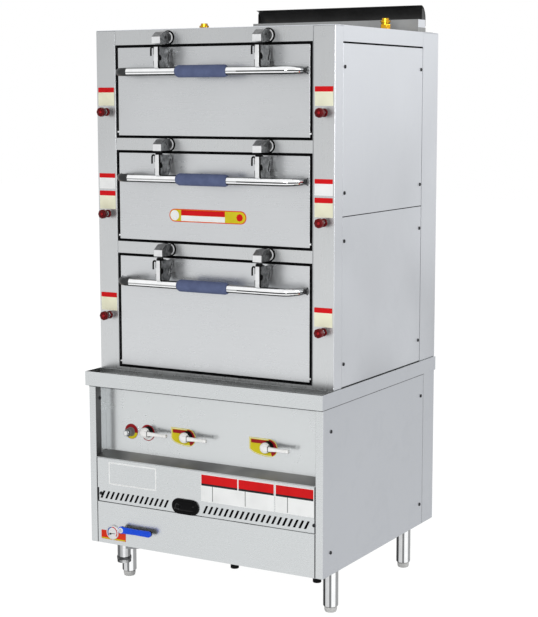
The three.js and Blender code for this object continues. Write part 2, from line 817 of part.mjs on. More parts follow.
// Door handles: a bent bar on two pivots, its two latch levers and its rubber grip
function addHandles() {
  for (const chamber of chambers) {
    const z = chamber.barZ;
    const half = halfOpening - gasketWidth - seat - running;
    const bend = half - barBendInset;
    const eye = half - lugThickness - eyeInset - seat;
    const solids = [rod('x', barRadius, [-bend, bend], [-barStandOff, z])];
    const bores = [];
    for (const [, side] of bothSides) {
      const across = (from, to) => [side * from, side * to].sort((a, b) => a - b);
      const elbow = new THREE.SphereGeometry(barRadius, roundSides, coarseSides / 2);
      elbow.translate(side * bend, -barStandOff, z);
      solids.push(solidOf(elbow));
      solids.push(taper([side * bend, -barStandOff], [side * (eye - eyeWidth / 2 - running), -pivotStandOff - seat], z,
        barRadius, barEndRadius - running));
      solids.push(rod('x', eyeRadius, across(eye - eyeWidth, eye), [-pivotStandOff, z], coarseSides));
      bores.push(rod('x', pivotRadius + running, across(eye - eyeWidth * 2, eye + overrun),
        [-pivotStandOff, z], coarseSides));
    }
    for (const x of Object.values(latchXs)) solids.push(latchLever(x, z));
    addPiece(`handle_${chamber.name}`, cut(joined(solids), bores), polishedSteel());

    const grip = new THREE.LatheGeometry([
      [barRadius + seat, -gripLength / 2], [gripRadius - gripChamfer / 2, -gripLength / 2],
      [gripRadius, -gripLength / 2 + gripChamfer], [gripRadius, gripLength / 2 - gripChamfer],
      [gripRadius - gripChamfer / 2, gripLength / 2], [barRadius + seat, gripLength / 2],
      [barRadius + seat, -gripLength / 2],
    ].map(([r, h]) => new THREE.Vector2(r, h)), roundSides);
    grip.rotateZ(-Math.PI / 2);
    grip.translate(0, -barStandOff, z);
    addPiece(`grip_${chamber.name}`, solidOf(grip), blueRubber());
  }
}

// Latch catches: hoods on round bases, fixed to the rail above each door
function addCatches() {
  for (const chamber of chambers) {
    for (const [name, latchX] of Object.entries(latchXs)) {
      const x = latchX - catchShift;
      const low = chamber.topZ + catchGap;
      const backZ = low + catchHeight;
      const outer = [
        [-seat, low], [-seat, backZ], [-catchTopDepth, backZ], [-catchReach, low + catchFrontHeight],
        [-catchReach, low],
      ].reverse();
      const inner = [
        [-catchPlate - seat, low - overrun], [-catchPlate - seat, backZ - catchPlate],
        [-catchTopDepth, backZ - catchPlate], [-catchReach + catchPlate, low + catchFrontHeight - catchPlate],
        [-catchReach + catchPlate, low - overrun],
      ].reverse();
      const hood = cut(alongX(outer, [x - catchWidth / 2, x + catchWidth / 2]), [
        alongX(inner, [x - catchWidth / 2 + catchPlate, x + catchWidth / 2 - catchPlate]),
      ]);
      const disc = rod('y', catchDiscRadius, [-seat - catchDiscThickness, -seat],
        [x + catchDiscShift, low + catchDiscRadius], roundSides);
      addPiece(`catch_${chamber.name}_${name}`, hood.add(disc), polishedSteel());
    }
  }
}

// Side panels between the corner returns, with the seam between upper and lower cover
function addSidePanels() {
  const depth = [cornerDepth + seat, rearY - rearCornerDepth - seat];
  const height = [deckTopZ + seat, roofTopZ - roofRim - seat];
  for (const [name, side] of bothSides) {
    const across = (from, to) => [side * from, side * to].sort((a, b) => a - b);
    const tray = box(across(halfWidth, halfWidth - panelReturn), depth, height);
    const inside = box(across(halfWidth - sheet, halfWidth - panelReturn - overrun),
      [depth[0] + sheet, depth[1] - sheet], [height[0] + sheet, height[1] - sheet]);
    const seam = box(across(halfWidth + overrun, halfWidth - seamDepth),
      [depth[0] - overrun, depth[1] + overrun], [seamZ - seamWidth / 2, seamZ + seamWidth / 2]);
    addPiece(`side_panel_${name}`, cut(tray, [inside, seam]), brushedSteel());
  }
}

// Rear shell: back and rear corners of the upper cabinet in one sheet
function addRearShell() {
  const front = rearY - rearCornerDepth;
  const inner = halfWidth - sheet;
  addPiece('rear_shell', alongZ([
    [halfWidth, front], [halfWidth, rearY], [-halfWidth, rearY], [-halfWidth, front],
    [-inner, front], [-inner, rearY - sheet], [inner, rearY - sheet], [inner, front],
  ], [deckTopZ + seat, roofBottomZ - seat]), brushedSteel());
}

// Roof: a sheet with rims down the sides and a hole for the flue
function addRoof() {
  const top = box([-halfWidth, halfWidth], [0, rearY], [roofBottomZ, roofTopZ]);
  const rims = bothSides.map(([, side]) => box(
    [side * halfWidth, side * (halfWidth - sheet)].sort((a, b) => a - b),
    [cornerDepth + seat, rearY - rearCornerDepth - seat], [roofTopZ - roofRim, roofTopZ]));
  const whole = joined([top, ...rims]);
  addPiece('roof', whole.subtract(ductHole([roofBottomZ - overrun, roofTopZ + overrun])), brushedSteel());
}

// The hole that the flue duct passes through
function ductHole(height) {
  return box([flueLeftX - seat, flueLeftX + flueWidth + seat],
    [flueFrontY - seat, flueFrontY + flueDepth + seat], height);
}

// Flue: a duct from the base up through the roof, and the curved deflector behind its mouth
function addFlue() {
  const span = [flueLeftX, flueLeftX + flueWidth];
  const back = flueFrontY + flueDepth;
  const mouthZ = roofTopZ + flueRise;
  const height = [deckTopZ - flueDrop, mouthZ];
  const duct = box(span, [flueFrontY, back], height);
  addPiece('flue_duct', duct.subtract(box([span[0] + sheet, span[1] - sheet],
    [flueFrontY + sheet, back - sheet], [height[0] - overrun, height[1] + overrun])), brushedSteel());

  const arc = (grow) => {
    const points = [];
    for (let step = 0; step <= deflectorSteps; step += 1) {
      const angle = (Math.PI / 2) * (step / deflectorSteps);
      points.push([back + seat - deflectorReach + (deflectorReach + grow) * Math.cos(angle),
        mouthZ + (deflectorRise + grow) * Math.sin(angle)]);
    }
    return points;
  };
  const outline = [
    [back + seat, mouthZ - deflectorLap], [back + seat + sheet, mouthZ - deflectorLap],
    ...arc(sheet), ...arc(0).reverse(),
  ];
  addPiece('flue_deflector', alongX(outline, span), blackedSteel());
}

// Relief vents: two brass fittings on the roof
function addReliefVents() {
  for (const [name, side] of bothSides) {
    const foot = roofTopZ + seat;
    const place = [side * ventX, ventY];
    addPiece(`relief_vent_${name}`, joined([
      rod('z', ventFlangeRadius, [foot, foot + ventFlangeHeight], place),
      rod('z', ventHexRadius, [foot, foot + ventHexHeight], place, hexSides),
      rod('z', ventTopRadius, [foot, foot + ventHexHeight + ventTopHeight], place),
    ]), brass());
  }
}

// The height of the burner's top
function burnerTop() {
  return bodyBottomZ + railHeight + seat + burnerRise;
}

// Gas rail behind the control panel: tap bodies and stems, the supply pipe and the jet to the burner
function gasRail(jetZ) {
  const solids = [
    rod('x', railRadius, [railLeftX, supplyX + supplyRadius], [railY, tapZ]),
    rod('y', supplyRadius, [railY, rearY - seat], [supplyX, tapZ]),
    rod('z', jetRadius, [jetZ - jetRadius, tapZ], [0, railY], coarseSides),
    rod('y', jetRadius, [railY, burnerTubeFrontY + overrun], [0, jetZ], coarseSides),
  ];
  for (const x of Object.values(tapXs)) {
    solids.push(rod('y', tapBodyRadius, [panelY + sheet + seat, railY], [x, tapZ]));
    solids.push(rod('y', tapStemRadius, [panelY - tapStemReach, railY], [x, tapZ], coarseSides));
  }
  return solids;
}

// Burner: a round head on a post over a bridge across the base frame, with its gas rail
function addBurner() {
  const foot = bodyBottomZ + railHeight + seat;
  const top = burnerTop();
  const tubeZ = top - burnerHeight / 2;
  const bridge = box([-bridgeWidth / 2, bridgeWidth / 2],
    [frontLegY - crossRailWidth / 2, rearLegY + crossRailWidth / 2], [foot, foot + bridgeThickness]);
  const head = turnedUp([
    [0, 0], [burnerPostRadius, 0], [burnerRadius, burnerHeight - burnerRim], [burnerRadius, burnerHeight],
    [burnerRadius - burnerRim, burnerHeight], [burnerRadius - burnerRim, burnerHeight - burnerRim / 2],
    [0, burnerHeight - burnerRim / 2],
  ], [0, burnerY, top - burnerHeight], fineSides);
  const post = rod('z', burnerPostRadius, [foot, tubeZ], [0, burnerY]);
  const tube = rod('y', burnerTubeRadius, [burnerTubeFrontY, burnerY], [0, tubeZ]);
  addPiece('burner', joined([bridge, post, head, tube, ...gasRail(tubeZ)]), castIron());
}

// Drain: a pipe from the tank, the valve behind the kick panel, its stem and the outlet
function addDrain() {
  const stemTip = lowerFrontY - drainStandOff + seat;
  addPiece('drain_valve', cut(joined([
    rod('z', drainPipeRadius, [drainZ - drainPipeRadius, tankBottomZ - seat], [drainX, drainBackY]),
    rod('y', drainPipeRadius, [drainY, drainBackY], [drainX, drainZ]),
    rod('x', drainBodyRadius, [outletX - drainBodyWidth / 2, outletX + drainBodyWidth], [drainY, drainZ], fineSides),
    rod('z', outletRadius, [outletBottomZ, drainZ], [outletX, drainY], fineSides),
    rod('y', drainStemRadius, [stemTip, drainY], [drainX, drainZ], coarseSides),
  ]), [
    rod('z', outletBore, [outletBottomZ - overrun, bodyBottomZ], [outletX, drainY], fineSides),
  ]), castIron());

  const front = lowerFrontY - drainStandOff - drainLeverThickness;
  const thickness = [front, lowerFrontY - drainStandOff];
  addPiece('drain_lever', joined([
    rod('y', drainHubRadius, [front - sheet, thickness[1]], [drainX, drainZ]),
    alongY(paddle(drainX, drainX + drainLeverReach, drainZ, drainLeverHeight / 2), thickness),
  ]), blueVinyl());
}

// Gas taps: a hub on each stem with a lever that points to the right
function addTaps() {
  const back = panelY - tapStandOff;
  const front = back - tapHubDepth;
  for (const [name, x] of Object.entries(tapXs)) {
    const hub = rod('y', tapHubRadius, [front, back], [x, tapZ], fineSides);
    const lever = alongY(paddle(x, x + tapLeverReach, tapZ, tapLeverHeight / 2),
      [front + tapLeverSetBack - tapLeverThickness, front + tapLeverSetBack]);
    const socket = rod('y', tapStemRadius + running, [panelY - tapStemReach - running, back + overrun], [x, tapZ]);
    addPiece(`tap_${name}`, cut(joined([hub, lever]), [socket]), whiteEnamel());
  }
}

// Igniter button: slides in the bezel on the control panel
function addIgniterButton() {
  const front = panelY - igniterBezelDepth - buttonProud;
  addPiece('igniter_button', rod('y', buttonRadius, [front, front + buttonLength],
    [igniterX, igniterZ], roundSides), polishedSteel());
}

addBaseFrame();
addLegs();
addLowerShell();
addDeck();
addControlPanel();
addVentPanel();
addSightWindow();
addKickPanel();
addBoilerTank();
addSteamRisers();
addKnobs();
addFrontFrame();
addLinersAndRacks();
addDoors();
addHandles();
addCatches();
addSidePanels();
addRearShell();
addRoof();
addFlue();
addReliefVents();
addBurner();
addDrain();
addTaps();
addIgniterButton();

// The origin is the middle of the footprint: halfway from the drain lever's hub to the back
const foremostY = lowerFrontY - drainStandOff - drainLeverThickness - sheet;
cabinet.position.y = -(foremostY + rearY) / 2;

export default cabinet;
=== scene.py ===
import math

import bpy
from mathutils import Matrix, Vector


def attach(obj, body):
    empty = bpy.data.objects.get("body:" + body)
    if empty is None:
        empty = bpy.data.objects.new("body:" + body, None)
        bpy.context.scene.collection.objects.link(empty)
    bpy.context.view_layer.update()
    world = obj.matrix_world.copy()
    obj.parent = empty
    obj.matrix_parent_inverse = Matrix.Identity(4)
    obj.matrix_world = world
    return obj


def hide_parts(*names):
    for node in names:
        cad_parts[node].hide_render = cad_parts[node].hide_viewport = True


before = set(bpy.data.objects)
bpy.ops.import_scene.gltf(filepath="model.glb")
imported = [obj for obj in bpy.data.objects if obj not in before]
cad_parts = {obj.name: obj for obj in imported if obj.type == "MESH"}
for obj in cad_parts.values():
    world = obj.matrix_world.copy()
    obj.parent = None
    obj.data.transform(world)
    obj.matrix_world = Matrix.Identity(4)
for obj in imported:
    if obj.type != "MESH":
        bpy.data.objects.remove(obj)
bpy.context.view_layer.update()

# Sizes are in millimetres from the middle of the upper front face at floor level, as on a shop drawing.
FRONT_SHIFT = 344
CHAMBERS = {"bottom": (772, 1160, 946), "middle": (1206, 1509, 1295), "top": (1555, 1858, 1639)}
BAR_DROP = 87
BAR_OUT = -62
LATCHES = {"left": -163, "right": 217}
STILE_SEAM = 377
ROOF_TOP = 1911

# Half the body's width, its back, the ends of the upper front, and the lower panels' face with a hair over it
BODY_HALF = 455
BODY_BACK = 791
FRAME_FOOT = 758.3
FRAME_TOP = 1908.7
LOWER_FACE = 72.05
UPPER_FRONT = -73.0
RACK_FLOOR = 1.8
TAPS = {"left": "tap_left", "middle": "tap_middle", "right": "tap_right"}


def at(x, y, z):
    """A place on the drawing, in metres in the part's frame."""
    return Vector((x / 1000, (y - FRONT_SHIFT) / 1000, z / 1000))


# Workshop: how pieces are made

def clear_bench():
    bpy.ops.object.select_all(action="DESELECT")


def take(piece):
    clear_bench()
    piece.select_set(True)
    bpy.context.view_layer.objects.active = piece


def open_up(piece, mode="FACE"):
    take(piece)
    bpy.ops.object.mode_set(mode="EDIT")
    bpy.ops.mesh.select_mode(type=mode)


def close_up():
    bpy.ops.object.mode_set(mode="OBJECT")


def select_all():
    bpy.ops.mesh.select_all(action="SELECT")


def inset_by(border, rise=0):
    """Insets the selected faces; both in metres."""
    bpy.ops.mesh.inset(thickness=border, depth=rise)


def extrude_by(travel):
    bpy.ops.mesh.extrude_region_move(TRANSFORM_OT_translate={"value": travel})


def drawn_place(place):
    """A place in the part's frame, in millimetres on the drawing."""
    return place.x * 1000, place.y * 1000 + FRONT_SHIFT, place.z * 1000


def settle(name):
    """Puts a new piece's place in its mesh and gives it its name."""
    piece = bpy.context.object
    bpy.ops.object.transform_apply(location=True, rotation=True, scale=True)
    piece.name = name
    piece.data.name = name
    return piece


def pick(piece, kind, wanted):
    """Selects the faces or edges of a piece for which wanted holds, and opens it for editing."""
    if piece.mode == "EDIT":
        close_up()
    open_up(piece, kind)
    bpy.ops.mesh.select_all(action="DESELECT")
    bpy.ops.object.mode_set(mode="OBJECT")
    mesh = piece.data
    if kind == "FACE":
        for face in mesh.polygons:
            face.select = bool(wanted(drawn_place(face.center), face.normal))
    else:
        ends = [drawn_place(vertex.co) for vertex in mesh.vertices]
        if kind == "EDGE":
            for edge in mesh.edges:
                edge.select = bool(wanted(ends[edge.vertices[0]], ends[edge.vertices[1]]))
        else:
            for vertex, end in zip(mesh.vertices, ends):
                vertex.select = bool(wanted(end))
    bpy.ops.object.mode_set(mode="EDIT")


def pick_faces(piece, wanted):
    """Faces by their centre in millimetres and their normal."""
    pick(piece, "FACE", wanted)


def pick_edges(piece, wanted):
    """Edges by the places of their two ends in millimetres."""
    pick(piece, "EDGE", wanted)


def pick_points(piece, wanted):
    """Vertices by their places in millimetres."""
    pick(piece, "VERT", wanted)


def drop_faces(piece, wanted):
    """Deletes the faces for which wanted holds, and leaves the piece open for editing."""
    pick_faces(piece, wanted)
    bpy.ops.mesh.delete(type="FACE")


def block(name, low, high):
    """A block between two corners, ready to be shaped."""
    clear_bench()
    a, b = at(*low), at(*high)
    bpy.ops.mesh.primitive_cube_add(size=1, location=(a + b) / 2, scale=b - a)
    return settle(name)


def on_plane(axis, place, a, b):
    """A point of a plane square to an axis, from its coordinates in the other two directions."""
    point = [a, b]
    point.insert("xyz".index(axis), place)
    return at(*point)


def sheet_at(name, axis, place, low, high):
    """A flat sheet square to an axis: low and high are its corners in the other two directions."""
    clear_bench()
    turns = {"x": (math.pi / 2, 0, math.pi / 2), "y": (math.pi / 2, 0, 0), "z": (0, 0, 0)}
    a, b = on_plane(axis, place, *low), on_plane(axis, place, *high)
    size = [span for letter, span in zip("xyz", b - a) if letter != axis] + [1]
    bpy.ops.mesh.primitive_plane_add(size=1, location=(a + b) / 2, rotation=turns[axis])
    bpy.context.object.scale = size
    return settle(name)


def modified(piece, kind, **values):
    take(piece)
    step = piece.modifiers.new(kind.lower(), kind)
    for key, value in values.items():
        setattr(step, key, value)
    bpy.ops.object.modifier_apply(modifier=step.name)
    return piece


def cut_away(piece, cutter):
    """Cuts a cutter's shape out of a piece, and removes the cutter."""
    modified(piece, "BOOLEAN", operation="DIFFERENCE", object=cutter, solver="EXACT")
    bpy.data.objects.remove(cutter)


def rounded(piece, radius, segments=3, angle=35):
    """Rounds every sharp edge; radius in millimetres."""
    modified(piece, "BEVEL", width=radius / 1000, segments=segments, limit_method="ANGLE",
             angle_limit=math.radians(angle), use_clamp_overlap=True)
    return piece


def thickened(piece, wall):
    """Gives a folded sheet its wall, inwards, in millimetres."""
    return modified(piece, "SOLIDIFY", thickness=wall / 1000, offset=-1, use_even_offset=True)


def smoothed(piece, angle=40):
    """Smooth over its roundings, with the flat faces kept flat."""
    take(piece)
    bpy.ops.object.shade_smooth_by_angle(angle=math.radians(angle))
    return modified(piece, "WEIGHTED_NORMAL", keep_sharp=True, weight=80)


def softened(piece, radius, segments=3, angle=35, smooth=40):
    """Rounds every sharp edge and smooths over the roundings."""
    rounded(piece, radius, segments, angle)
    return smoothed(piece, smooth)


def outward(piece):
    open_up(piece)
    select_all()
    bpy.ops.mesh.remove_doubles(threshold=0.00001)
    bpy.ops.mesh.normals_make_consistent(inside=False)
    close_up()
    return piece


def drawn_line(name, points):
    """One vertex, extruded from point to point: the start of an outline or a profile."""
    clear_bench()
    bpy.ops.mesh.primitive_plane_add(size=0.001, location=points[0])
    piece = settle(name)
    open_up(piece, "VERT")
    select_all()
    bpy.ops.mesh.merge(type="CENTER")
    for here, there in zip(points, points[1:]):
        extrude_by(there - here)
    return piece


def turned(name, profile, foot, axis, steps=36, angle=35):
    """A turned piece: (radius, distance along the axis) pairs in millimetres, spun round a foot point."""
    along = Vector(axis).normalized()
    across = Vector((1, 0, 0)) if abs(along.x) < 0.5 else Vector((0, 0, 1))
    centre = at(*foot)
    points = [centre + across * (r / 1000) + along * (h / 1000) for r, h in profile]
    piece = drawn_line(name, points)
    select_all()
    bpy.ops.mesh.spin(steps=steps, angle=2 * math.pi, center=centre, axis=along)
    close_up()
    outward(piece)
    return smoothed(piece, angle)


def pressed(name, outline, axis, start, depth):
    """A flat outline in millimetres, filled and extruded along an axis from start by depth."""
    points = [on_plane(axis, start, a, b) for a, b in outline]
    piece = drawn_line(name, points)
    select_all()
    bpy.ops.mesh.edge_face_add()
    travel = {"x": (depth / 1000, 0, 0), "y": (0, depth / 1000, 0), "z": (0, 0, depth / 1000)}[axis]
    extrude_by(travel)
    close_up()
    return outward(piece)


def arc(cx, cy, radius, start, end, steps):
    """Points of an arc, in degrees."""
    return [(cx + radius * math.cos(math.radians(start + (end - start) * i / steps)),
             cy + radius * math.sin(math.radians(start + (end - start) * i / steps)))
            for i in range(steps + 1)]


def rounded_corners(low, high, radius, steps=6):
    """The outline of a rectangle with round corners."""
    (x0, z0), (x1, z1) = low, high
    return (arc(x1 - radius, z0 + radius, radius, -90, 0, steps) + arc(x1 - radius, z1 - radius, radius, 0,
        90, steps)
            + arc(x0 + radius, z1 - radius, radius, 90, 180, steps)
            + arc(x0 + radius, z0 + radius, radius, 180, 270, steps))


def bent_tube(name, points, radii, ring=7):
    """A tube swept along points, each with its own radius, in millimetres."""
    clear_bench()
    bpy.ops.curve.primitive_bezier_curve_add(location=(0, 0, 0))
    path = bpy.context.object
    path.data.splines.clear()
    line = path.data.splines.new("POLY")
    line.points.add(len(points) - 1)
    for place, point, radius in zip(line.points, points, radii):
        place.co = (*at(*point), 1)
        place.radius = radius / 1000
    path.data.bevel_depth = 1
    path.data.bevel_resolution = ring
    path.data.use_fill_caps = True
    bpy.ops.object.convert(target="MESH")
    piece = settle(name)
    outward(piece)
    return smoothed(piece, 50)


def copy_of(piece, name, shift=(0, 0, 0), mirror=False):
    """A copy with its own mesh, moved in millimetres, or mirrored left to right."""
    twin = piece.copy()
    twin.data = piece.data.copy()
    bpy.context.scene.collection.objects.link(twin)
    twin.name = name
    twin.data.name = name
    take(twin)
    if mirror:
        twin.scale.x = -1
    twin.location = Vector(shift) / 1000
    bpy.ops.object.transform_apply(location=True, rotation=True, scale=True)
    if mirror:
        outward(twin)
    return twin


def joined(name, pieces):
    clear_bench()
    for piece in pieces:
        piece.select_set(True)
    bpy.context.view_layer.objects.active = pieces[0]
    bpy.ops.object.join()
    return settle(name)


def painted(piece, index, wanted):
    """Gives some faces another of the piece's finishes: wanted(centre in millimetres, normal)."""
    for face in piece.data.polygons:
        if wanted(drawn_place(face.center), face.normal):
            face.material_index = index


def fitted(piece, body, slot, *finishes, replaces=()):
    """Hangs a finished piece on its body and gives it its finishes."""
    if finishes:
        kept = [face.material_index for face in piece.data.polygons]
        piece.data.materials.clear()
        for finish in finishes:
            piece.data.materials.append(finish)
        if len(finishes) > 1:
            for face, index in zip(piece.data.polygons, kept):
                face.material_index = index
    if replaces:
        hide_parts(*replaces)
    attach(piece, body)
    return piece


# Finishes

def added(tree, kind, inputs=(), **properties):
    """A new shader node with its properties set, and inputs given by name or number."""
    node = tree.nodes.new(f"ShaderNode{kind}")
    for key, value in properties.items():
        setattr(node, key, value)
    for key, value in dict(inputs).items():
        node.inputs[key].default_value = value
    return node


def shading_group(name, inputs, outputs):
    tree = bpy.data.node_groups.new(name, "ShaderNodeTree")
    for label, kind, value in inputs:
        socket = tree.interface.new_socket(label, in_out="INPUT", socket_type=kind)
        socket.default_value = value
    for label, kind in outputs:
        tree.interface.new_socket(label, in_out="OUTPUT", socket_type=kind)
    return tree, tree.nodes.new("NodeGroupInput"), tree.nodes.new("NodeGroupOutput")


def wire(tree, source, label, target, socket):
    tree.links.new(source.outputs[label], target.inputs[socket])


def make_brushed_grain():
    """Long fine scratches, drawn out along one direction."""
    tree, given, out = shading_group("brushed_grain", [
        ("Place", "NodeSocketVector", (0, 0, 0)), ("Stretch", "NodeSocketVector", (1, 1, 1)),
        ("Fineness", "NodeSocketFloat", 220.0)], [("Grain", "NodeSocketFloat"),
                                                  ("Height", "NodeSocketFloat")])
    drawn = added(tree, "VectorMath", operation="MULTIPLY")
    wire(tree, given, "Place", drawn, 0)
    wire(tree, given, "Stretch", drawn, 1)
    noise = added(tree, "TexNoise", {"Detail": 4, "Roughness": 0.65})
    wire(tree, drawn, "Vector", noise, "Vector")
    wire(tree, given, "Fineness", noise, "Scale")
    spread = added(tree, "MapRange", {"From Min": 0.3, "From Max": 0.7})
    wire(tree, noise, "Fac", spread, "Value")
    wire(tree, spread, "Result", out, "Grain")
    wire(tree, noise, "Fac", out, "Height")
    return tree


def make_soft_cloud():
    """Broad, soft differences in tone."""
    tree, given, out = shading_group("soft_cloud", [
        ("Place", "NodeSocketVector", (0, 0, 0)), ("Size", "NodeSocketFloat", 0.3),
        ("Detail", "NodeSocketFloat", 3.0)], [("Cloud", "NodeSocketFloat")])
    rate = added(tree, "Math", {0: 1}, operation="DIVIDE")
    wire(tree, given, "Size", rate, 1)
    noise = added(tree, "TexNoise", {"Roughness": 0.55})
    wire(tree, given, "Place", noise, "Vector")
    wire(tree, rate, "Value", noise, "Scale")
    wire(tree, given, "Detail", noise, "Detail")
    spread = added(tree, "MapRange", {"From Min": 0.3, "From Max": 0.7}, interpolation_type="SMOOTHSTEP")
    wire(tree, noise, "Fac", spread, "Value")
    wire(tree, spread, "Result", out, "Cloud")
    return tree


def make_handling():
    """Wiped and touched patches, where the grain is a little duller."""
    tree, given, out = shading_group("handling", [
        ("Place", "NodeSocketVector", (0, 0, 0)), ("Size", "NodeSocketFloat", 0.12),
        ("Cover", "NodeSocketFloat", 0.5)], [("Smudge", "NodeSocketFloat")])
    rate = added(tree, "Math", {0: 1}, operation="DIVIDE")
    wire(tree, given, "Size", rate, 1)
    noise = added(tree, "TexNoise", {"Detail": 6, "Roughness": 0.6, "Distortion": 0.8})
    wire(tree, given, "Place", noise, "Vector")
    wire(tree, rate, "Value", noise, "Scale")
    edge = added(tree, "Math", {1: 0.12}, operation="ADD")
    wire(tree, given, "Cover", edge, 0)
    spread = added(tree, "MapRange", interpolation_type="SMOOTHSTEP")
    wire(tree, noise, "Fac", spread, "Value")
    wire(tree, given, "Cover", spread, "From Min")
    wire(tree, edge, "Value", spread, "From Max")
    wire(tree, spread, "Result", out, "Smudge")
    return tree


def make_height_shade():
    """A painted shade that grows from the Top height towards the Bottom height, broken up by noise; on the
    sides it grows towards the floor.
    """
    tree, given, out = shading_group("low_soil", [
        ("Place", "NodeSocketVector", (0, 0, 0)), ("Top", "NodeSocketFloat", 0.8),
        ("Bottom", "NodeSocketFloat", 0.0)], [("Soil", "NodeSocketFloat")])
    parts = added(tree, "SeparateXYZ")
    wire(tree, given, "Place", parts, "Vector")
    fall = added(tree, "MapRange", {"To Min": 0, "To Max": 1})
    wire(tree, parts, "Z", fall, "Value")
    wire(tree, given, "Top", fall, "From Min")
    wire(tree, given, "Bottom", fall, "From Max")
    noise = added(tree, "TexNoise", {"Scale": 1.8, "Detail": 1.5})
    wire(tree, given, "Place", noise, "Vector")
    shade_veil = added(tree, "Math", operation="MULTIPLY")
    wire(tree, fall, "Result", shade_veil, 0)
    wire(tree, noise, "Fac", shade_veil, 1)
    wire(tree, shade_veil, "Value", out, "Soil")
    return tree


def make_pitted_skin():
    """Small pits and pimples of a moulded, cast or foamed skin."""
    tree, given, out = shading_group("pitted_skin", [
        ("Place", "NodeSocketVector", (0, 0, 0)), ("Size", "NodeSocketFloat", 0.002)],
        [("Pits", "NodeSocketFloat"), ("Height", "NodeSocketFloat")])
    rate = added(tree, "Math", {0: 1}, operation="DIVIDE")
    wire(tree, given, "Size", rate, 1)
    cells = added(tree, "TexVoronoi", feature="SMOOTH_F1")
    wire(tree, given, "Place", cells, "Vector")
    wire(tree, rate, "Value", cells, "Scale")
    spread = added(tree, "MapRange", {"From Min": 0.1, "From Max": 0.8})
    wire(tree, cells, "Distance", spread, "Value")
    wire(tree, spread, "Result", out, "Pits")
    wire(tree, cells, "Distance", out, "Height")
    return tree


GRAIN = make_brushed_grain()
CLOUD = make_soft_cloud()
HANDLING = make_handling()
HEIGHT_SHADE = make_height_shade()
PITS = make_pitted_skin()


def linear(r, g, b):
    """A colour given 0 to 255, as the shader wants it."""
    def one(v):
        v /= 255
        return v / 12.92 if v <= 0.04045 else ((v + 0.055) / 1.055) ** 2.4
    return (one(r), one(g), one(b), 1)


class Finish:
    """One material: its Principled shader, and the nodes that vary it over the surface."""

    def __init__(self, name, metallic, roughness, coat=0.0, coat_roughness=0.1, specular=0.5):
        self.material = bpy.data.materials.new(name)
        self.material.use_nodes = True
        self.tree = self.material.node_tree
        self.shader = self.tree.nodes["Principled BSDF"]
        self.shader.inputs["Metallic"].default_value = metallic
        self.shader.inputs["Roughness"].default_value = roughness
        self.shader.inputs["Coat Weight"].default_value = coat
        self.shader.inputs["Coat Roughness"].default_value = coat_roughness
        self.shader.inputs["Specular IOR Level"].default_value = specular
        self.place = self.tree.nodes.new("ShaderNodeTexCoord").outputs["Object"]

    def group(self, kind, **values):
        node = added(self.tree, "Group", node_tree=kind)
        self.tree.links.new(self.place, node.inputs["Place"])
        for key, value in values.items():
            node.inputs[key].default_value = value
        return node

    def blend(self, mask, first, second, mode="MIX"):
        """Two colours, or outputs, mixed by a mask."""
        mix = added(self.tree, "Mix", data_type="RGBA", blend_type=mode)
        for index, colour in ((6, first), (7, second)):
            if isinstance(colour, tuple):
                mix.inputs[index].default_value = colour
            else:
                self.tree.links.new(colour, mix.inputs[index])
        if isinstance(mask, float):
            mix.inputs[0].default_value = mask
        else:
            self.tree.links.new(mask, mix.inputs[0])
        return mix.outputs[2]

    def between(self, value, low, high):
        span = added(self.tree, "MapRange", {"To Min": low, "To Max": high})
        self.tree.links.new(value, span.inputs["Value"])
        return span.outputs["Result"]

    def feed(self, socket, value):
        self.tree.links.new(value, self.shader.inputs[socket])

    def bump(self, height, strength, distance):
        node = added(self.tree, "Bump", {"Strength": strength, "Distance": distance})
        self.tree.links.new(height, node.inputs["Height"])
        self.tree.links.new(node.outputs["Normal"], self.shader.inputs["Normal"])


def brushed_steel(name, light, dark, stretch, metallic=0.45, rough=(0.44, 0.58), cloud=0.35, shade_top=0.0,
                  shade_colour=None, shade_bottom=0.1, fineness=260.0, mottle=0.5):
    """Stainless sheet with a drawn grain, broad tone changes and wiped patches, and where asked a painted
    shade that grows with height.
    """
    f = Finish(name, metallic, rough[0])
    grain = f.group(GRAIN, Stretch=stretch, Fineness=fineness)
    cloud_node = f.group(CLOUD, Size=cloud, Detail=3.0)
    smudge = f.group(HANDLING, Size=0.1, Cover=mottle)
    tone = f.blend(cloud_node.outputs["Cloud"], linear(*dark), linear(*light))
    scratch = f.between(grain.outputs["Grain"], 0.985, 1.01)
    tone = f.blend(1.0, tone, scratch, "MULTIPLY")
    # painted shade: the colour is mixed towards a darker grey by height
    if shade_top:
        shade_veil = f.group(HEIGHT_SHADE, Top=shade_top, Bottom=shade_bottom)
        tone = f.blend(shade_veil.outputs["Soil"], tone, linear(*shade_colour))
    f.feed("Base Color", tone)
    base_rough = f.between(grain.outputs["Grain"], rough[0], rough[1])
    dull = f.between(smudge.outputs["Smudge"], 1.0, 1.14)
    worn = added(f.tree, "Math", operation="MULTIPLY")
    f.tree.links.new(base_rough, worn.inputs[0])
    f.tree.links.new(dull, worn.inputs[1])
    f.feed("Roughness", worn.outputs["Value"])
    f.bump(grain.outputs["Height"], 0.012, 0.0002)
    return f.material


def moulded(name, colour, shade, roughness, pit=0.0015, bump=0.15, cloud=0.05, coat=0.0, metallic=0.0,
            specular=0.5,
            rough_span=0.12):
    """Rubber, plastic, enamel, vinyl or cast metal: a skin with fine pits and soft tone changes."""
    f = Finish(name, metallic, roughness, coat=coat, specular=specular)
    skin = f.group(PITS, Size=pit)
    cloud_node = f.group(CLOUD, Size=cloud, Detail=4.0)
    tone = f.blend(cloud_node.outputs["Cloud"], linear(*shade), linear(*colour))
    pits = f.between(skin.outputs["Pits"], 0.93, 1.02)
    tone = f.blend(1.0, tone, pits, "MULTIPLY")
    f.feed("Base Color", tone)
    f.feed("Roughness", f.between(cloud_node.outputs["Cloud"], roughness + rough_span / 2,
                                  roughness - rough_span / 2))
    f.bump(skin.outputs["Height"], bump, 0.0004)
    return f.material


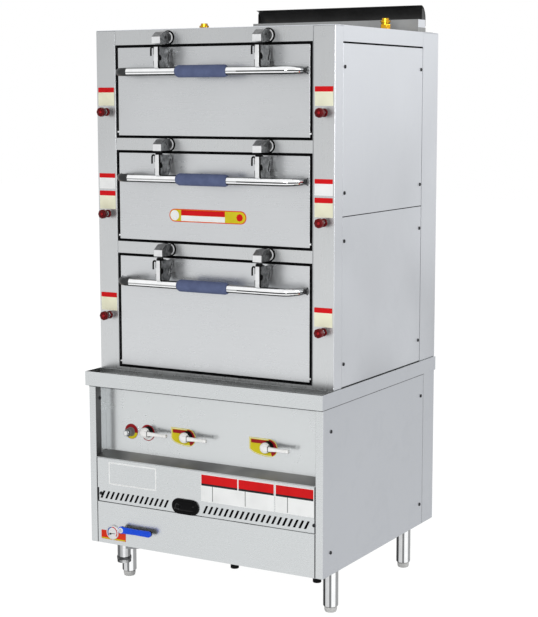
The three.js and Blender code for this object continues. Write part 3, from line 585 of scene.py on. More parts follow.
def chromed(name, reflection_bands, roughness, tarnish=0.93):
    """Plated metal: reflection_bands are (facing, grey) pairs from the middle of a round piece to its rim, a
    painted reflection set by how squarely each face turns to the view.
    """
    f = Finish(name, 1.0, roughness)
    facing = added(f.tree, "LayerWeight", {"Blend": 0.5})
    ramp = added(f.tree, "ValToRGB")
    f.tree.links.new(facing.outputs["Facing"], ramp.inputs["Fac"])
    stops = ramp.color_ramp.elements
    while len(stops) < len(reflection_bands):
        stops.new(0.5)
    for stop, (place, grey) in zip(stops, reflection_bands):
        stop.position = place
        stop.color = linear(grey, grey + 1, grey + 2)
    cloud_node = f.group(CLOUD, Size=0.03, Detail=4.0)
    smudge = f.group(HANDLING, Size=0.04, Cover=0.52)
    grain = f.group(GRAIN, Stretch=(1, 1, 1), Fineness=300.0)
    f.feed("Base Color", f.blend(1.0, ramp.outputs["Color"],
                                 f.between(cloud_node.outputs["Cloud"], tarnish, 1.0), "MULTIPLY"))
    f.feed("Roughness", f.between(smudge.outputs["Smudge"], roughness, roughness + 0.08))
    f.bump(grain.outputs["Height"], 0.03, 0.0001)
    return f.material


def flecked(name, light, dark, size, roughness):
    """Rolled metal with a speckled, mottled sheen."""
    f = Finish(name, 0.85, roughness)
    skin = f.group(PITS, Size=size)
    cloud_node = f.group(CLOUD, Size=size * 5, Detail=5.0)
    tone = f.blend(cloud_node.outputs["Cloud"], linear(*dark), linear(*light))
    tone = f.blend(1.0, tone, f.between(skin.outputs["Pits"], 0.6, 1.12), "MULTIPLY")
    f.feed("Base Color", tone)
    f.feed("Roughness", f.between(skin.outputs["Pits"], roughness + 0.15, roughness))
    f.bump(skin.outputs["Height"], 0.25, 0.0004)
    return f.material


def polished(name, colour, edge, roughness, cloud=0.04, metallic=1.0, fine=(1, 1, 1), edge_at=0.35):
    """Bright metal whose rim goes darker as a painted reflection, with faint rub marks."""
    f = Finish(name, metallic, roughness)
    cloud_node = f.group(CLOUD, Size=cloud, Detail=4.0)
    grain = f.group(GRAIN, Stretch=fine, Fineness=300.0)
    smudge = f.group(HANDLING, Size=0.03, Cover=0.5)
    facing = added(f.tree, "LayerWeight", {"Blend": edge_at})
    bright = linear(*colour)
    worn = f.blend(cloud_node.outputs["Cloud"], tuple(c * 0.9 for c in bright[:3]) + (1,), bright)
    f.feed("Base Color", f.blend(facing.outputs["Facing"], worn, linear(*edge)))
    f.feed("Roughness", f.between(smudge.outputs["Smudge"], roughness, roughness + 0.12))
    f.bump(grain.outputs["Height"], 0.05, 0.0001)
    return f.material


ACROSS = (0.03, 1.0, 1.0)
UPRIGHT = (1.0, 1.0, 0.03)
BACKWARD = (1.0, 0.03, 1.0)

# Painted shade: the front and door steel go darker towards the top, by the height shade.
FRONT_STEEL = brushed_steel("front_steel", (207, 209, 210), (205, 207, 208), UPRIGHT, metallic=0.9,
                            rough=(0.26, 0.31), shade_top=0.75, shade_bottom=2.2, shade_colour=(160, 162, 164))
DOOR_STEEL = brushed_steel("door_steel", (211, 213, 215), (209, 211, 213), ACROSS, metallic=0.9,
                           rough=(0.26, 0.31), cloud=0.5, shade_top=0.75, shade_bottom=2.2,
                           shade_colour=(160, 162, 164))
# Painted light and shade: the side steel is a lighter copy of the front's stainless for faces turned
# sideways, going darker towards the floor by the height shade.
SIDE_LIT_STEEL = brushed_steel("side_steel", (218, 221, 226), (216, 219, 224), UPRIGHT, metallic=0.85,
                           rough=(0.32, 0.38), cloud=0.5, shade_top=1.95, shade_bottom=0.4, shade_colour=(52, 54, 58))
BASE_STEEL = brushed_steel("base_steel", (207, 210, 211), (205, 208, 209), ACROSS, metallic=0.9,
                           rough=(0.24, 0.29), cloud=0.5)
# Painted shade: a darker copy of the side steel for the lower cabinet's sides.
LOW_SIDE_SHADE_STEEL = brushed_steel("low_side_steel", (179, 182, 187), (177, 180, 185), UPRIGHT, metallic=0.85,
                               rough=(0.32, 0.38), cloud=0.5)
PANEL_STEEL = brushed_steel("panel_steel", (212, 215, 216), (210, 213, 214), ACROSS, metallic=0.75,
                            rough=(0.22, 0.26), cloud=0.5)
# Painted shade: darker copies of the stainless for the control recess's jambs, the sloping shelf under the
# taps and the deck's trough.
RECESS_SHADE_STEEL = brushed_steel("recess_steel", (104, 105, 105), (86, 87, 87), UPRIGHT, metallic=0.8,
                             cloud=0.2)
SHELF_SHADE_STEEL = brushed_steel("shelf_steel", (150, 149, 146), (112, 112, 111), ACROSS, cloud=0.2,
                            metallic=0.8,
                            rough=(0.3, 0.42))
TROUGH_SHADE_STEEL = brushed_steel("trough_steel", (66, 66, 65), (46, 46, 45), ACROSS, cloud=0.2, metallic=0.8,
                             rough=(0.3, 0.42))
CHAMBER_STEEL = brushed_steel("chamber_steel", (200, 202, 203), (178, 180, 182), BACKWARD, metallic=0.75,
                              rough=(0.3, 0.44), cloud=0.18, mottle=0.42)
HIDDEN_STEEL = brushed_steel("hidden_steel", (150, 152, 154), (118, 121, 124), ACROSS, rough=(0.4, 0.6),
                             cloud=0.12, metallic=0.7)
FLUE_STEEL = brushed_steel("flue_steel", (162, 163, 163), (148, 149, 149), UPRIGHT, cloud=0.1)
# Chrome finishes: their facing greys are painted reflections.
CHROME = chromed("handle_chrome", [(0.0, 248), (0.2, 252), (0.36, 246), (0.5, 170), (0.7, 70)], 0.1)
# Painted light on the handle bar: a darker chrome for its underside as painted shade, and thin reflection
# lines below its middle as painted reflection.
CHROME_SHADED_UNDERSIDE = chromed("chrome_underside", [(0.0, 88), (0.3, 72), (0.6, 56)], 0.16)
TUBE_REFLECTION_LINE = chromed("tube_seam", [(0.0, 176), (0.4, 160), (0.8, 120)], 0.16)
TUBE_REFLECTION_LINE_DARK = chromed("tube_seam_dark", [(0.0, 58), (0.4, 52), (0.8, 40)], 0.16)
# Painted reflection: lighter and darker copies of the leg chrome, laid on the tubes in upright stripes.
LEG_STEEL = chromed("leg_steel", [(0.0, 252), (0.3, 250), (0.6, 236)], 0.16)
LEG_SHADE = chromed("leg_shade", [(0.0, 168), (0.4, 156), (0.8, 140)], 0.2)
LEG_REFLECTION_BAND = chromed("leg_band", [(0.0, 128), (0.4, 122), (0.8, 104)], 0.2)
LEG_DARK_REFLECTION = chromed("leg_dark", [(0.0, 58), (0.4, 50), (0.8, 38)], 0.2)
LEG_PALE_REFLECTION = chromed("leg_pale", [(0.0, 214), (0.4, 206), (0.8, 190)], 0.2)
# Painted reflection: a dark chrome for the bar's ends, the eyes, the lugs and the pivots.
DARK_REFLECTION_CHROME = chromed("pinched_chrome", [(0.0, 72), (0.2, 66), (0.5, 52), (0.9, 34)], 0.28, 0.8)
LATCH_BRIGHT = polished("latch_bright", (232, 233, 234), (190, 192, 194), 0.42, metallic=0.6, edge_at=0.15)
# Darker copies of the latch steel as painted shade, for the latch cheeks, the catch hoods' sides and tops and
# the catch bases' middles; the first also serves as plain dark steel for the rivets and the outlet collar.
LATCH_DARK_AND_SHADE = flecked("latch_dark", (104, 105, 106), (52, 53, 54), 0.0032, 0.34)
HOOD_TOP_SHADE = flecked("hood_top", (142, 143, 144), (112, 113, 114), 0.004, 0.3)
SLEEVE_GREY = moulded("sleeve_grey", (122, 123, 123), (104, 105, 105), 0.4, pit=0.004, specular=0.3)
NUT_STEEL = polished("nut_steel", (205, 207, 208), (90, 92, 94), 0.24, edge_at=0.3)
SCREW_STEEL = polished("screw_steel", (52, 53, 55), (28, 29, 30), 0.34, edge_at=0.3)
BRASS = polished("vent_brass", (226, 172, 44), (70, 40, 4), 0.16, edge_at=0.55)
SEAL_RUBBER = moulded("seal_rubber", (9, 9, 10), (5, 5, 6), 0.8, pit=0.0012, specular=0.04)
GRIP_FOAM = moulded("grip_foam", (92, 103, 138), (84, 94, 128), 0.72, pit=0.0011, bump=0.35, cloud=0.03,
                    specular=0.3)
KNOB_RED = moulded("knob_red", (112, 3, 9), (84, 2, 7), 0.36, pit=0.004, bump=0.03, specular=0.14)
KNOB_CENTRE = moulded("knob_centre", (178, 14, 26), (150, 9, 18), 0.3, pit=0.003, bump=0.03, specular=0.2)
TAP_ENAMEL = moulded("tap_enamel", (254, 253, 251), (250, 249, 246), 0.3, pit=0.01, bump=0.01, coat=0.3)
LEVER_VINYL = moulded("lever_vinyl", (8, 88, 240), (4, 74, 224), 0.4, pit=0.004, bump=0.04, specular=0.3)
SOOTED_BLACK = moulded("sooted_black", (66, 66, 66), (48, 48, 48), 0.42, pit=0.004, bump=0.05, cloud=0.08,
                       metallic=0.5)
WINDOW_BLACK = moulded("window_black", (8, 8, 9), (4, 4, 5), 0.2, pit=0.006, bump=0.02, rough_span=0.05,
                       specular=0.08)
LENS_GLOSS = moulded("lens_gloss", (26, 26, 28), (18, 18, 20), 0.12, pit=0.006, bump=0.01, specular=0.3)
CAST_IRON = moulded("cast_iron", (70, 70, 72), (46, 46, 48), 0.6, pit=0.003, bump=0.4, cloud=0.03,
                    metallic=0.6)
# Black rubber for buffers, rollers, wires and knob necks, also laid on as painted shade on the taps' hub
# feet, lever roots and lever backs and in the latch cores.
BLACK_RUBBER_AND_SHADE = moulded("buffer_rubber", (11, 11, 12), (6, 6, 7), 0.7, pit=0.002, specular=0.08)
FOOT_GREY = moulded("foot_grey", (214, 214, 212), (196, 196, 194), 0.4, pit=0.004, bump=0.05)
PIPE_STEEL = chromed("pipe_steel", [(0.0, 236), (0.06, 240), (0.14, 168), (0.26, 150), (0.4, 84),
                                    (0.8, 52)], 0.24, 0.85)
# Near black, laid on as painted shade inside the vent slots, on the sheet behind them and on the sheet behind
# the side seams.
INSIDE_SHADE = moulded("inside_dark", (16, 16, 17), (9, 9, 10), 0.8, pit=0.004, specular=0.05)


def enamelled_plate(name, colour, shade):
    return moulded(name, colour, shade, 0.45, pit=0.05, bump=0.004, cloud=0.08, coat=0.0, rough_span=0.06,
                   specular=0.22)


PLATE_WHITE = enamelled_plate("plate_white", (252, 253, 252), (248, 249, 248))
PLATE_CREAM = enamelled_plate("plate_cream", (250, 249, 222), (245, 243, 214))
PLATE_RED = enamelled_plate("plate_red", (222, 8, 16), (210, 5, 12))
PLATE_DARK_RED = enamelled_plate("plate_dark_red", (172, 22, 34), (150, 14, 24))
PLATE_YELLOW = enamelled_plate("plate_yellow", (226, 212, 38), (214, 198, 28))
PLATE_ORANGE = enamelled_plate("plate_orange", (240, 66, 20), (228, 48, 12))
PLATE_BLUE = enamelled_plate("plate_blue", (40, 90, 190), (28, 74, 168))
PLATE_BLACK = enamelled_plate("plate_black", (26, 26, 28), (16, 16, 18))
JOINT_DARK = moulded("joint_dark", (52, 53, 54), (38, 39, 40), 0.6, pit=0.004, specular=0.08)
JOINT_PALE = moulded("joint_pale", (168, 170, 172), (160, 162, 164), 0.5, pit=0.004, specular=0.2)
JOINT_GREY = moulded("joint_grey", (104, 105, 106), (90, 91, 92), 0.6, pit=0.004, specular=0.08)
# Painted shade: grey for the hubs' right sides and the tips' right ends.
TAP_SHADE_GREY = moulded("tap_tip_grey", (176, 176, 174), (150, 150, 148), 0.35, pit=0.004, bump=0.04)


# Stage: camera, floor, light

def set_stage():
    camera = bpy.data.objects.new("camera", bpy.data.cameras.new("camera"))
    bpy.context.scene.collection.objects.link(camera)
    camera.data.lens = 90.27
    camera.data.sensor_width = 36
    camera.data.clip_end = 60
    camera.matrix_world = (Matrix.Translation(at(2683.2, -4314.0, 1677.7))
                           @ Matrix.Rotation(math.radians(29.755), 4, "Z")
                           @ Matrix.Rotation(math.radians(90 - 7.665), 4, "X")
                           @ Matrix.Rotation(math.radians(-0.061), 4, "Z"))
    bpy.context.scene.camera = camera

    bpy.ops.mesh.primitive_plane_add(size=40, location=(0, 0, -0.0005))
    floor = bpy.context.object
    floor.name = "floor"
    material = bpy.data.materials.new("pale_floor")
    material.use_nodes = True
    tree = material.node_tree
    paint = tree.nodes["Principled BSDF"]
    paint.inputs["Base Color"].default_value = (0.82, 0.83, 0.84, 1)
    paint.inputs["Roughness"].default_value = 0.7
    glow = added(tree, "Emission", {"Color": (1, 1, 1, 1), "Strength": 1.1})
    rays = added(tree, "LightPath")
    direct = added(tree, "Math", operation="MAXIMUM")
    tree.links.new(rays.outputs["Is Camera Ray"], direct.inputs[0])
    tree.links.new(rays.outputs["Is Glossy Ray"], direct.inputs[1])
    seen = added(tree, "Math", {1: 0.9}, operation="MULTIPLY")
    tree.links.new(direct.outputs["Value"], seen.inputs[0])
    mixed = added(tree, "MixShader")
    tree.links.new(seen.outputs["Value"], mixed.inputs[0])
    tree.links.new(paint.outputs["BSDF"], mixed.inputs[1])
    tree.links.new(glow.outputs["Emission"], mixed.inputs[2])
    tree.links.new(mixed.outputs["Shader"], tree.nodes["Material Output"].inputs["Surface"])
    floor.data.materials.append(material)

    world = bpy.data.worlds.new("studio")
    bpy.context.scene.world = world
    world.use_nodes = True
    tree = world.node_tree
    room = tree.nodes["Background"]
    room.inputs["Color"].default_value = (1.0, 1.0, 1.0, 1)
    room.inputs["Strength"].default_value = 0.4
    white = added(tree, "Background", {"Color": (1, 1, 1, 1), "Strength": 1.0})
    rays = added(tree, "LightPath")
    either = added(tree, "Math", operation="MAXIMUM")
    tree.links.new(rays.outputs["Is Camera Ray"], either.inputs[0])
    tree.links.new(rays.outputs["Is Glossy Ray"], either.inputs[1])
    any_ray = added(tree, "Math", operation="MAXIMUM")
    tree.links.new(either.outputs["Value"], any_ray.inputs[0])
    tree.links.new(rays.outputs["Is Transmission Ray"], any_ray.inputs[1])
    mixed = added(tree, "MixShader")
    tree.links.new(any_ray.outputs["Value"], mixed.inputs[0])
    tree.links.new(room.outputs["Background"], mixed.inputs[1])
    tree.links.new(white.outputs["Background"], mixed.inputs[2])
    tree.links.new(mixed.outputs["Shader"], tree.nodes["World Output"].inputs["Surface"])

    def softbox(name, place, target, size, power):
        lamp = bpy.data.objects.new(name, bpy.data.lights.new(name, "AREA"))
        bpy.context.scene.collection.objects.link(lamp)
        lamp.data.shape = "SQUARE"
        lamp.data.size = size
        lamp.data.energy = power
        lamp.location = place
        lamp.rotation_euler = (Vector(place) - Vector(target)).to_track_quat("Z", "Y").to_euler()

    softbox("front_softbox", (1.9, -5.0, 1.9), (0, -0.4, 1.0), 1.2, 105)
    softbox("right_softbox", (4.2, 0.5, 3.3), (0.4, 0, 1.6), 1.6, 74)
    softbox("back_softbox", (-2.6, 4.6, 2.6), (0, 0.3, 1.0), 1.8, 40)

    bpy.context.scene.view_settings.view_transform = "Standard"


set_stage()


# Upper cabinet

def make_front_frame():
    """The pressed surround of the three doors, and the two stiles beside it."""
    surround = sheet_at("door_surround", "y", 0, (-STILE_SEAM + 0.3, FRAME_FOOT),
                        (STILE_SEAM - 0.3, FRAME_TOP))
    cuts = [("x", -372), ("x", 372)] + [("z", z) for low, high, _ in CHAMBERS.values() for z in (low, high)]
    open_up(surround)
    for axis, place in cuts:
        select_all()
        point = at(place, 0, 0) if axis == "x" else at(0, 0, place)
        bpy.ops.mesh.bisect(plane_co=point, plane_no=(1, 0, 0) if axis == "x" else (0, 0, 1))
    drop_faces(surround, lambda c, n: abs(c[0]) < 370 and any(low < c[2] < high for low, high,
        _ in CHAMBERS.values()))
    close_up()

    def on_opening(a, b):
        """An edge whose ends both lie on the rim of one and the same opening."""
        same = any(all(abs(p[0]) < 372.2 and low - 0.2 < p[2] < high + 0.2 for p in (a, b)) for low, high,
                   _ in CHAMBERS.values())
        along_side = abs(abs(a[0]) - 372) < 0.2 and abs(abs(b[0]) - 372) < 0.2 and a[0] * b[0] > 0
        along_rail = abs(a[2] - b[2]) < 0.2 and any(abs(a[2] - z) < 0.2 for low, high,
                                                    _ in CHAMBERS.values()
                                                   for z in (low, high))
        return same and (along_side or along_rail)

    pick_edges(surround, on_opening)
    extrude_by((0, 0.0298, 0))
    close_up()

    def on_rim(a, b):
        return a[1] < 1 and b[1] < 1 and (all(abs(abs(p[0]) - STILE_SEAM + 0.3) < 0.2 for p in (a, b))
                                          and a[0] * b[0] > 0
                                          or all(abs(p[2] - FRAME_FOOT) < 0.2 for p in (a, b))
                                          or all(abs(p[2] - FRAME_TOP) < 0.2 for p in (a, b)))

    pick_edges(surround, on_rim)
    extrude_by((0, 0.012, 0))
    close_up()
    outward(surround)
    rounded(surround, 0.7, 3)
    thickened(surround, 1.4)
    smoothed(surround)
    fitted(surround, "cabinet", "cabinet_steel", FRONT_STEEL, replaces=("front_frame",))

    stile = block("stile_right", (STILE_SEAM + 0.3, 0, FRAME_FOOT), (BODY_HALF, 53, FRAME_TOP))
    drop_faces(stile, lambda c, n: n.y > 0.9)
    pick_edges(stile, lambda a, b: all(p[0] < 380 and p[1] > 50 for p in (a, b)))
    bpy.ops.transform.translate(value=(0, -0.041, 0))
    close_up()
    rounded(stile, 2.2, 4)
    thickened(stile, 1.4)
    smoothed(stile)
    # painted light: the stile's sideways faces take the lighter side steel
    painted(stile, 1, lambda c, n: abs(n.x) > 0.5)
    left = copy_of(stile, "stile_left", mirror=True)
    for piece in (stile, left):
        fitted(piece, "cabinet", "cabinet_steel", FRONT_STEEL, SIDE_LIT_STEEL)

    for name, (low, high, _) in CHAMBERS.items():
        strip = sheet_at(f"seal_face_{name}", "y", -0.1, (-375.9, low - 2.7), (375.9, high + 3.0))
        pick_faces(strip, lambda c, n: True)
        inset_by(0.0027)
        bpy.ops.mesh.delete(type="FACE")
        pick_points(strip, lambda p: abs(p[0]) < 374)
        bpy.ops.transform.resize(value=(371.75 / 373.2, 1, (high - low - 0.5) / (high - low + 0.3)),
                                 center_override=at(0, 0, (low + high + 0.3) / 2))
        close_up()
        outward(strip)
        modified(strip, "SOLIDIFY", thickness=0.0007, offset=1 if strip.data.polygons[0].normal.y < 0
                 else -1)
        softened(strip, 0.25, 2)
        fitted(strip, "cabinet", "gasket_rubber", SEAL_RUBBER)


def make_side_covers():
    """Each side: a lower and an upper tray with a seam between them."""
    for name, low, high in (("lower", 761, 1309.2), ("upper", 1311.6, 1855)):
        tray = block(f"side_cover_{name}_right", (443, 55.2, low), (BODY_HALF, 658.2, high))
        drop_faces(tray, lambda c, n: n.x < -0.9)
        close_up()
        rounded(tray, 1.4, 3)
        thickened(tray, 1.2)
        smoothed(tray)
        mirror = copy_of(tray, f"side_cover_{name}_left", mirror=True)
        for piece, side in ((tray, "right"), (mirror, "left")):
            standing = (f"side_panel_{side}",) if name == "lower" else ()
            fitted(piece, "cabinet", "cabinet_steel", SIDE_LIT_STEEL, replaces=standing)
    # A near-black sheet behind the trays, seen through their seams as painted shade.
    backing = block("side_backing_right", (449.4, 46, FRAME_FOOT), (451.2, 667, 1866))
    pick_faces(backing, lambda c, n: n.x > 0.9)
    inset_by(0.03)
    inset_by(0.004, -0.0012)
    close_up()
    softened(backing, 0.3, 2)
    for piece in (backing, copy_of(backing, "side_backing_left", mirror=True)):
        fitted(piece, "cabinet", "cabinet_steel", INSIDE_SHADE)


def make_rear_shell():
    """Back and rear corners: two corner posts and a back panel let in between them."""
    post = block("rear_corner_right", (400, 660.3, FRAME_FOOT), (BODY_HALF, BODY_BACK, FRAME_TOP))
    drop_faces(post, lambda c, n: n.y < -0.9 or n.x < -0.9)
    close_up()
    rounded(post, 2.2, 4)
    thickened(post, 1.6)
    smoothed(post)
    left = copy_of(post, "rear_corner_left", mirror=True)
    fitted(post, "cabinet", "cabinet_steel", SIDE_LIT_STEEL, replaces=("rear_shell",))
    fitted(left, "cabinet", "cabinet_steel", SIDE_LIT_STEEL)
    for index, (low, high) in enumerate(((759, 1333.6), (1335.4, 1908))):
        panel = block(f"back_panel_{index + 1}", (-413, 784, low), (413, 788.6, high))
        pick_faces(panel, lambda c, n: n.y > 0.9)
        inset_by(0.03)
        inset_by(0.006, -0.0025)
        close_up()
        softened(panel, 0.8, 2, 25, smooth=30)
        fitted(panel, "cabinet", "cabinet_steel", SIDE_LIT_STEEL)


def make_roof():
    """The roof sheet with its rims, and the collar round the flue."""
    roof = block("roof_cover", (-BODY_HALF, 0, 1860.4), (BODY_HALF, BODY_BACK, ROOF_TOP))
    drop_faces(roof, lambda c, n: n.z < -0.9)
    close_up()
    open_up(roof)
    for place, normal in ((at(0, 53.4, 0), (0, 1, 0)), (at(0, 659.6, 0), (0, 1, 0)),
                          (at(0, 0, ROOF_TOP - 2.2), (0, 0, 1))):
        select_all()
        bpy.ops.mesh.bisect(plane_co=place, plane_no=normal)
    drop_faces(roof, lambda c, n: c[2] < ROOF_TOP - 3 and not (abs(n.x) > 0.9 and 53.4 < c[1] < 659.6))
    close_up()
    rounded(roof, 1.8, 3)
    thickened(roof, 1.4)
    smoothed(roof)
    opening = block("flue_opening", (-234, 671, 1850), (431, 733, 1930))
    cut_away(roof, opening)
    fitted(roof, "cabinet", "cabinet_steel", SIDE_LIT_STEEL, replaces=("roof",))

    collar = sheet_at("flue_collar", "z", ROOF_TOP + 1.4, (-253, 653), (450, 751))
    pick_faces(collar, lambda c, n: True)
    inset_by(0.0185)
    bpy.ops.mesh.delete(type="FACE")
    pick_edges(collar, lambda a, b: all(-240 < p[0] < 437 and 665 < p[1] < 739 for p in (a, b)))
    extrude_by((0, 0, 0.016))
    close_up()
    rounded(collar, 1.2, 3)
    thickened(collar, 1.2)
    smoothed(collar)
    fitted(collar, "cabinet", "cabinet_steel", FLUE_STEEL)


def make_flue():
    """The curved deflector in one smooth sweep, and its side returns."""
    back, mouth = 732.3, 1956
    outer = arc(back - 35, mouth, 37, 0, 90, 18)
    inner = arc(back - 35, mouth, 35, 90, 0, 18)
    stretch = lambda pts, grow: [(y, mouth + (z - mouth) * (47 + grow) / (35 + grow)) for y, z in pts]
    profile = [(back + 2, 1934)] + stretch(outer, 2) + stretch(inner, 0) + [(back, 1934)]
    hood = pressed("flue_hood", profile, "x", -233, 663)
    softened(hood, 0.5, 2, 50, smooth=30)
    fitted(hood, "cabinet", "black_steel", SOOTED_BLACK, replaces=("flue_deflector",))
    for name, x in (("left", -231.6), ("right", 427.6)):
        cheek = pressed(f"hood_cheek_{name}", [(back - 26, 1951), (back - 1, 1951)] + [
            (back - 35 + 34 * math.cos(math.radians(a)), mouth + 45 * math.sin(math.radians(a)))
            for a in range(0, 70, 6)] + [(back - 26, 1990)], "x", x, 1.6)
        softened(cheek, 0.5, 2, 50)
        fitted(cheek, "cabinet", "black_steel", SOOTED_BLACK)


make_front_frame()
make_side_covers()
make_rear_shell()
make_roof()
make_flue()


# Small parts made once and copied

def make_screw(name, axis):
    """A truss head screw with a slot, standing on the drawing's origin and facing along an axis."""
    head = turned(name, [(0, -0.4), (6, -0.4), (6, 1.2), (5.4, 2.6), (3, 3.6), (0, 3.9)], (0, 0, 0), axis,
                  20)
    size = (20, 20, 1.1) if abs(axis[2]) < 0.5 else (20, 1.1, 20)
    out = Vector(axis) * 3.8
    low = [o - s / 2 for o, s in zip(out, size)]
    high = [o + s / 2 for o, s in zip(out, size)]
    for index in range(3):
        if abs(axis[index]) > 0.5:
            low[index], high[index] = out[index] - 0.9, out[index] + 0.9
    groove = block("screw_slot", low, high)
    cut_away(head, groove)
    return smoothed(head, 30)


SCREWS = {key: make_screw(f"screw_{key}", axis) for key, axis in (
    ("front", (0, -1, 0)), ("back", (0, 1, 0)), ("right", (1, 0, 0)), ("left", (-1, 0, 0)),
    ("up", (0, 0, 1)))}


def screwed(key, name, body, places, finish=None, slot="polished_steel"):
    for index, place in enumerate(places):
        fitted(copy_of(SCREWS[key], f"{name}_{index + 1}", place), body, slot, finish or SCREW_STEEL)


# Doors

def make_door(name, low, high):
    """A door: pan with a let-in back sheet, lugs for the handle, hinge pins and pivots."""
    middle = (low + high) / 2
    bar = high - BAR_DROP
    body = f"door_{name}"
    pan = block(f"door_pan_{name}", (-366, 0, low + 6), (366, 27.9, high - 6))
    pick_faces(pan, lambda c, n: n.y > 0.9)
    inset_by(0.013)
    inset_by(0.001, -0.003)
    inset_by(0.004)
    inset_by(0.003, 0.003)
    close_up()
    softened(pan, 0.9, 3, 50, smooth=45)
    fitted(pan, body, "cabinet_steel", DOOR_STEEL, replaces=(body,))

    lip = sheet_at(f"seal_lip_{name}", "y", 0.1, (-371.5, low + 0.5), (371.5, high - 0.5))
    pick_faces(lip, lambda c, n: True)
    inset_by(0.0053)
    bpy.ops.mesh.delete(type="FACE")
    close_up()
    outward(lip)
    modified(lip, "SOLIDIFY", thickness=0.0027, offset=1 if lip.data.polygons[0].normal.y > 0 else -1)
    softened(lip, 0.3, 2)
    fitted(lip, body, "gasket_rubber", SEAL_RUBBER)

    tab = block(f"hinge_tab_{name}_right", (364.4, -0.9, low + 15.2), (371.6, 0.7, low + 20.8))
    rounded(tab, 0.6, 2)
    lug = pressed(f"door_lug_{name}_right", [(1, bar - 13)] + arc(-10, bar, 8, 290, 70, 20)
                  + [(1, bar + 13)], "x", 356, 4)
    rounded(lug, 0.7, 2)
    pin = turned(f"hinge_pin_{name}_right", [(0, -2), (3, -2), (3, 9.2), (2.2, 10), (0, 10)],
                 (366, 6, low + 18), (1, 0, 0), 24)
    pivot = turned(f"handle_pivot_{name}_right", [(0, -1.6), (3.4, -1.6), (4.8, -0.8), (4.8, 0), (3, 0.2),
                                                  (3, 13.2), (2.2, 14),
                                                  (0, 14)], (347.6, -10, bar), (1, 0, 0), 24)
    for piece, finish in ((lug, DARK_REFLECTION_CHROME), (tab, LATCH_BRIGHT), (pin, SCREW_STEEL),
                          (pivot, DARK_REFLECTION_CHROME)):
        smoothed(piece)
        painted(piece, 1, lambda c, n: piece is lug and n.x < -0.5)
        twin = copy_of(piece, piece.name.replace("right", "left"), mirror=True)
        for copy in (piece, twin):
            fitted(copy, body, "polished_steel", *((finish, DOOR_STEEL) if piece is lug else (finish,)))
    screwed("back", f"door_screw_{name}", body,
            [(x, 27.8, z) for x in (-340, 0, 340) for z in (low + 30, high - 30)]
            + [(x, 27.8, middle) for x in (-340, 340)], NUT_STEEL)


# Handles

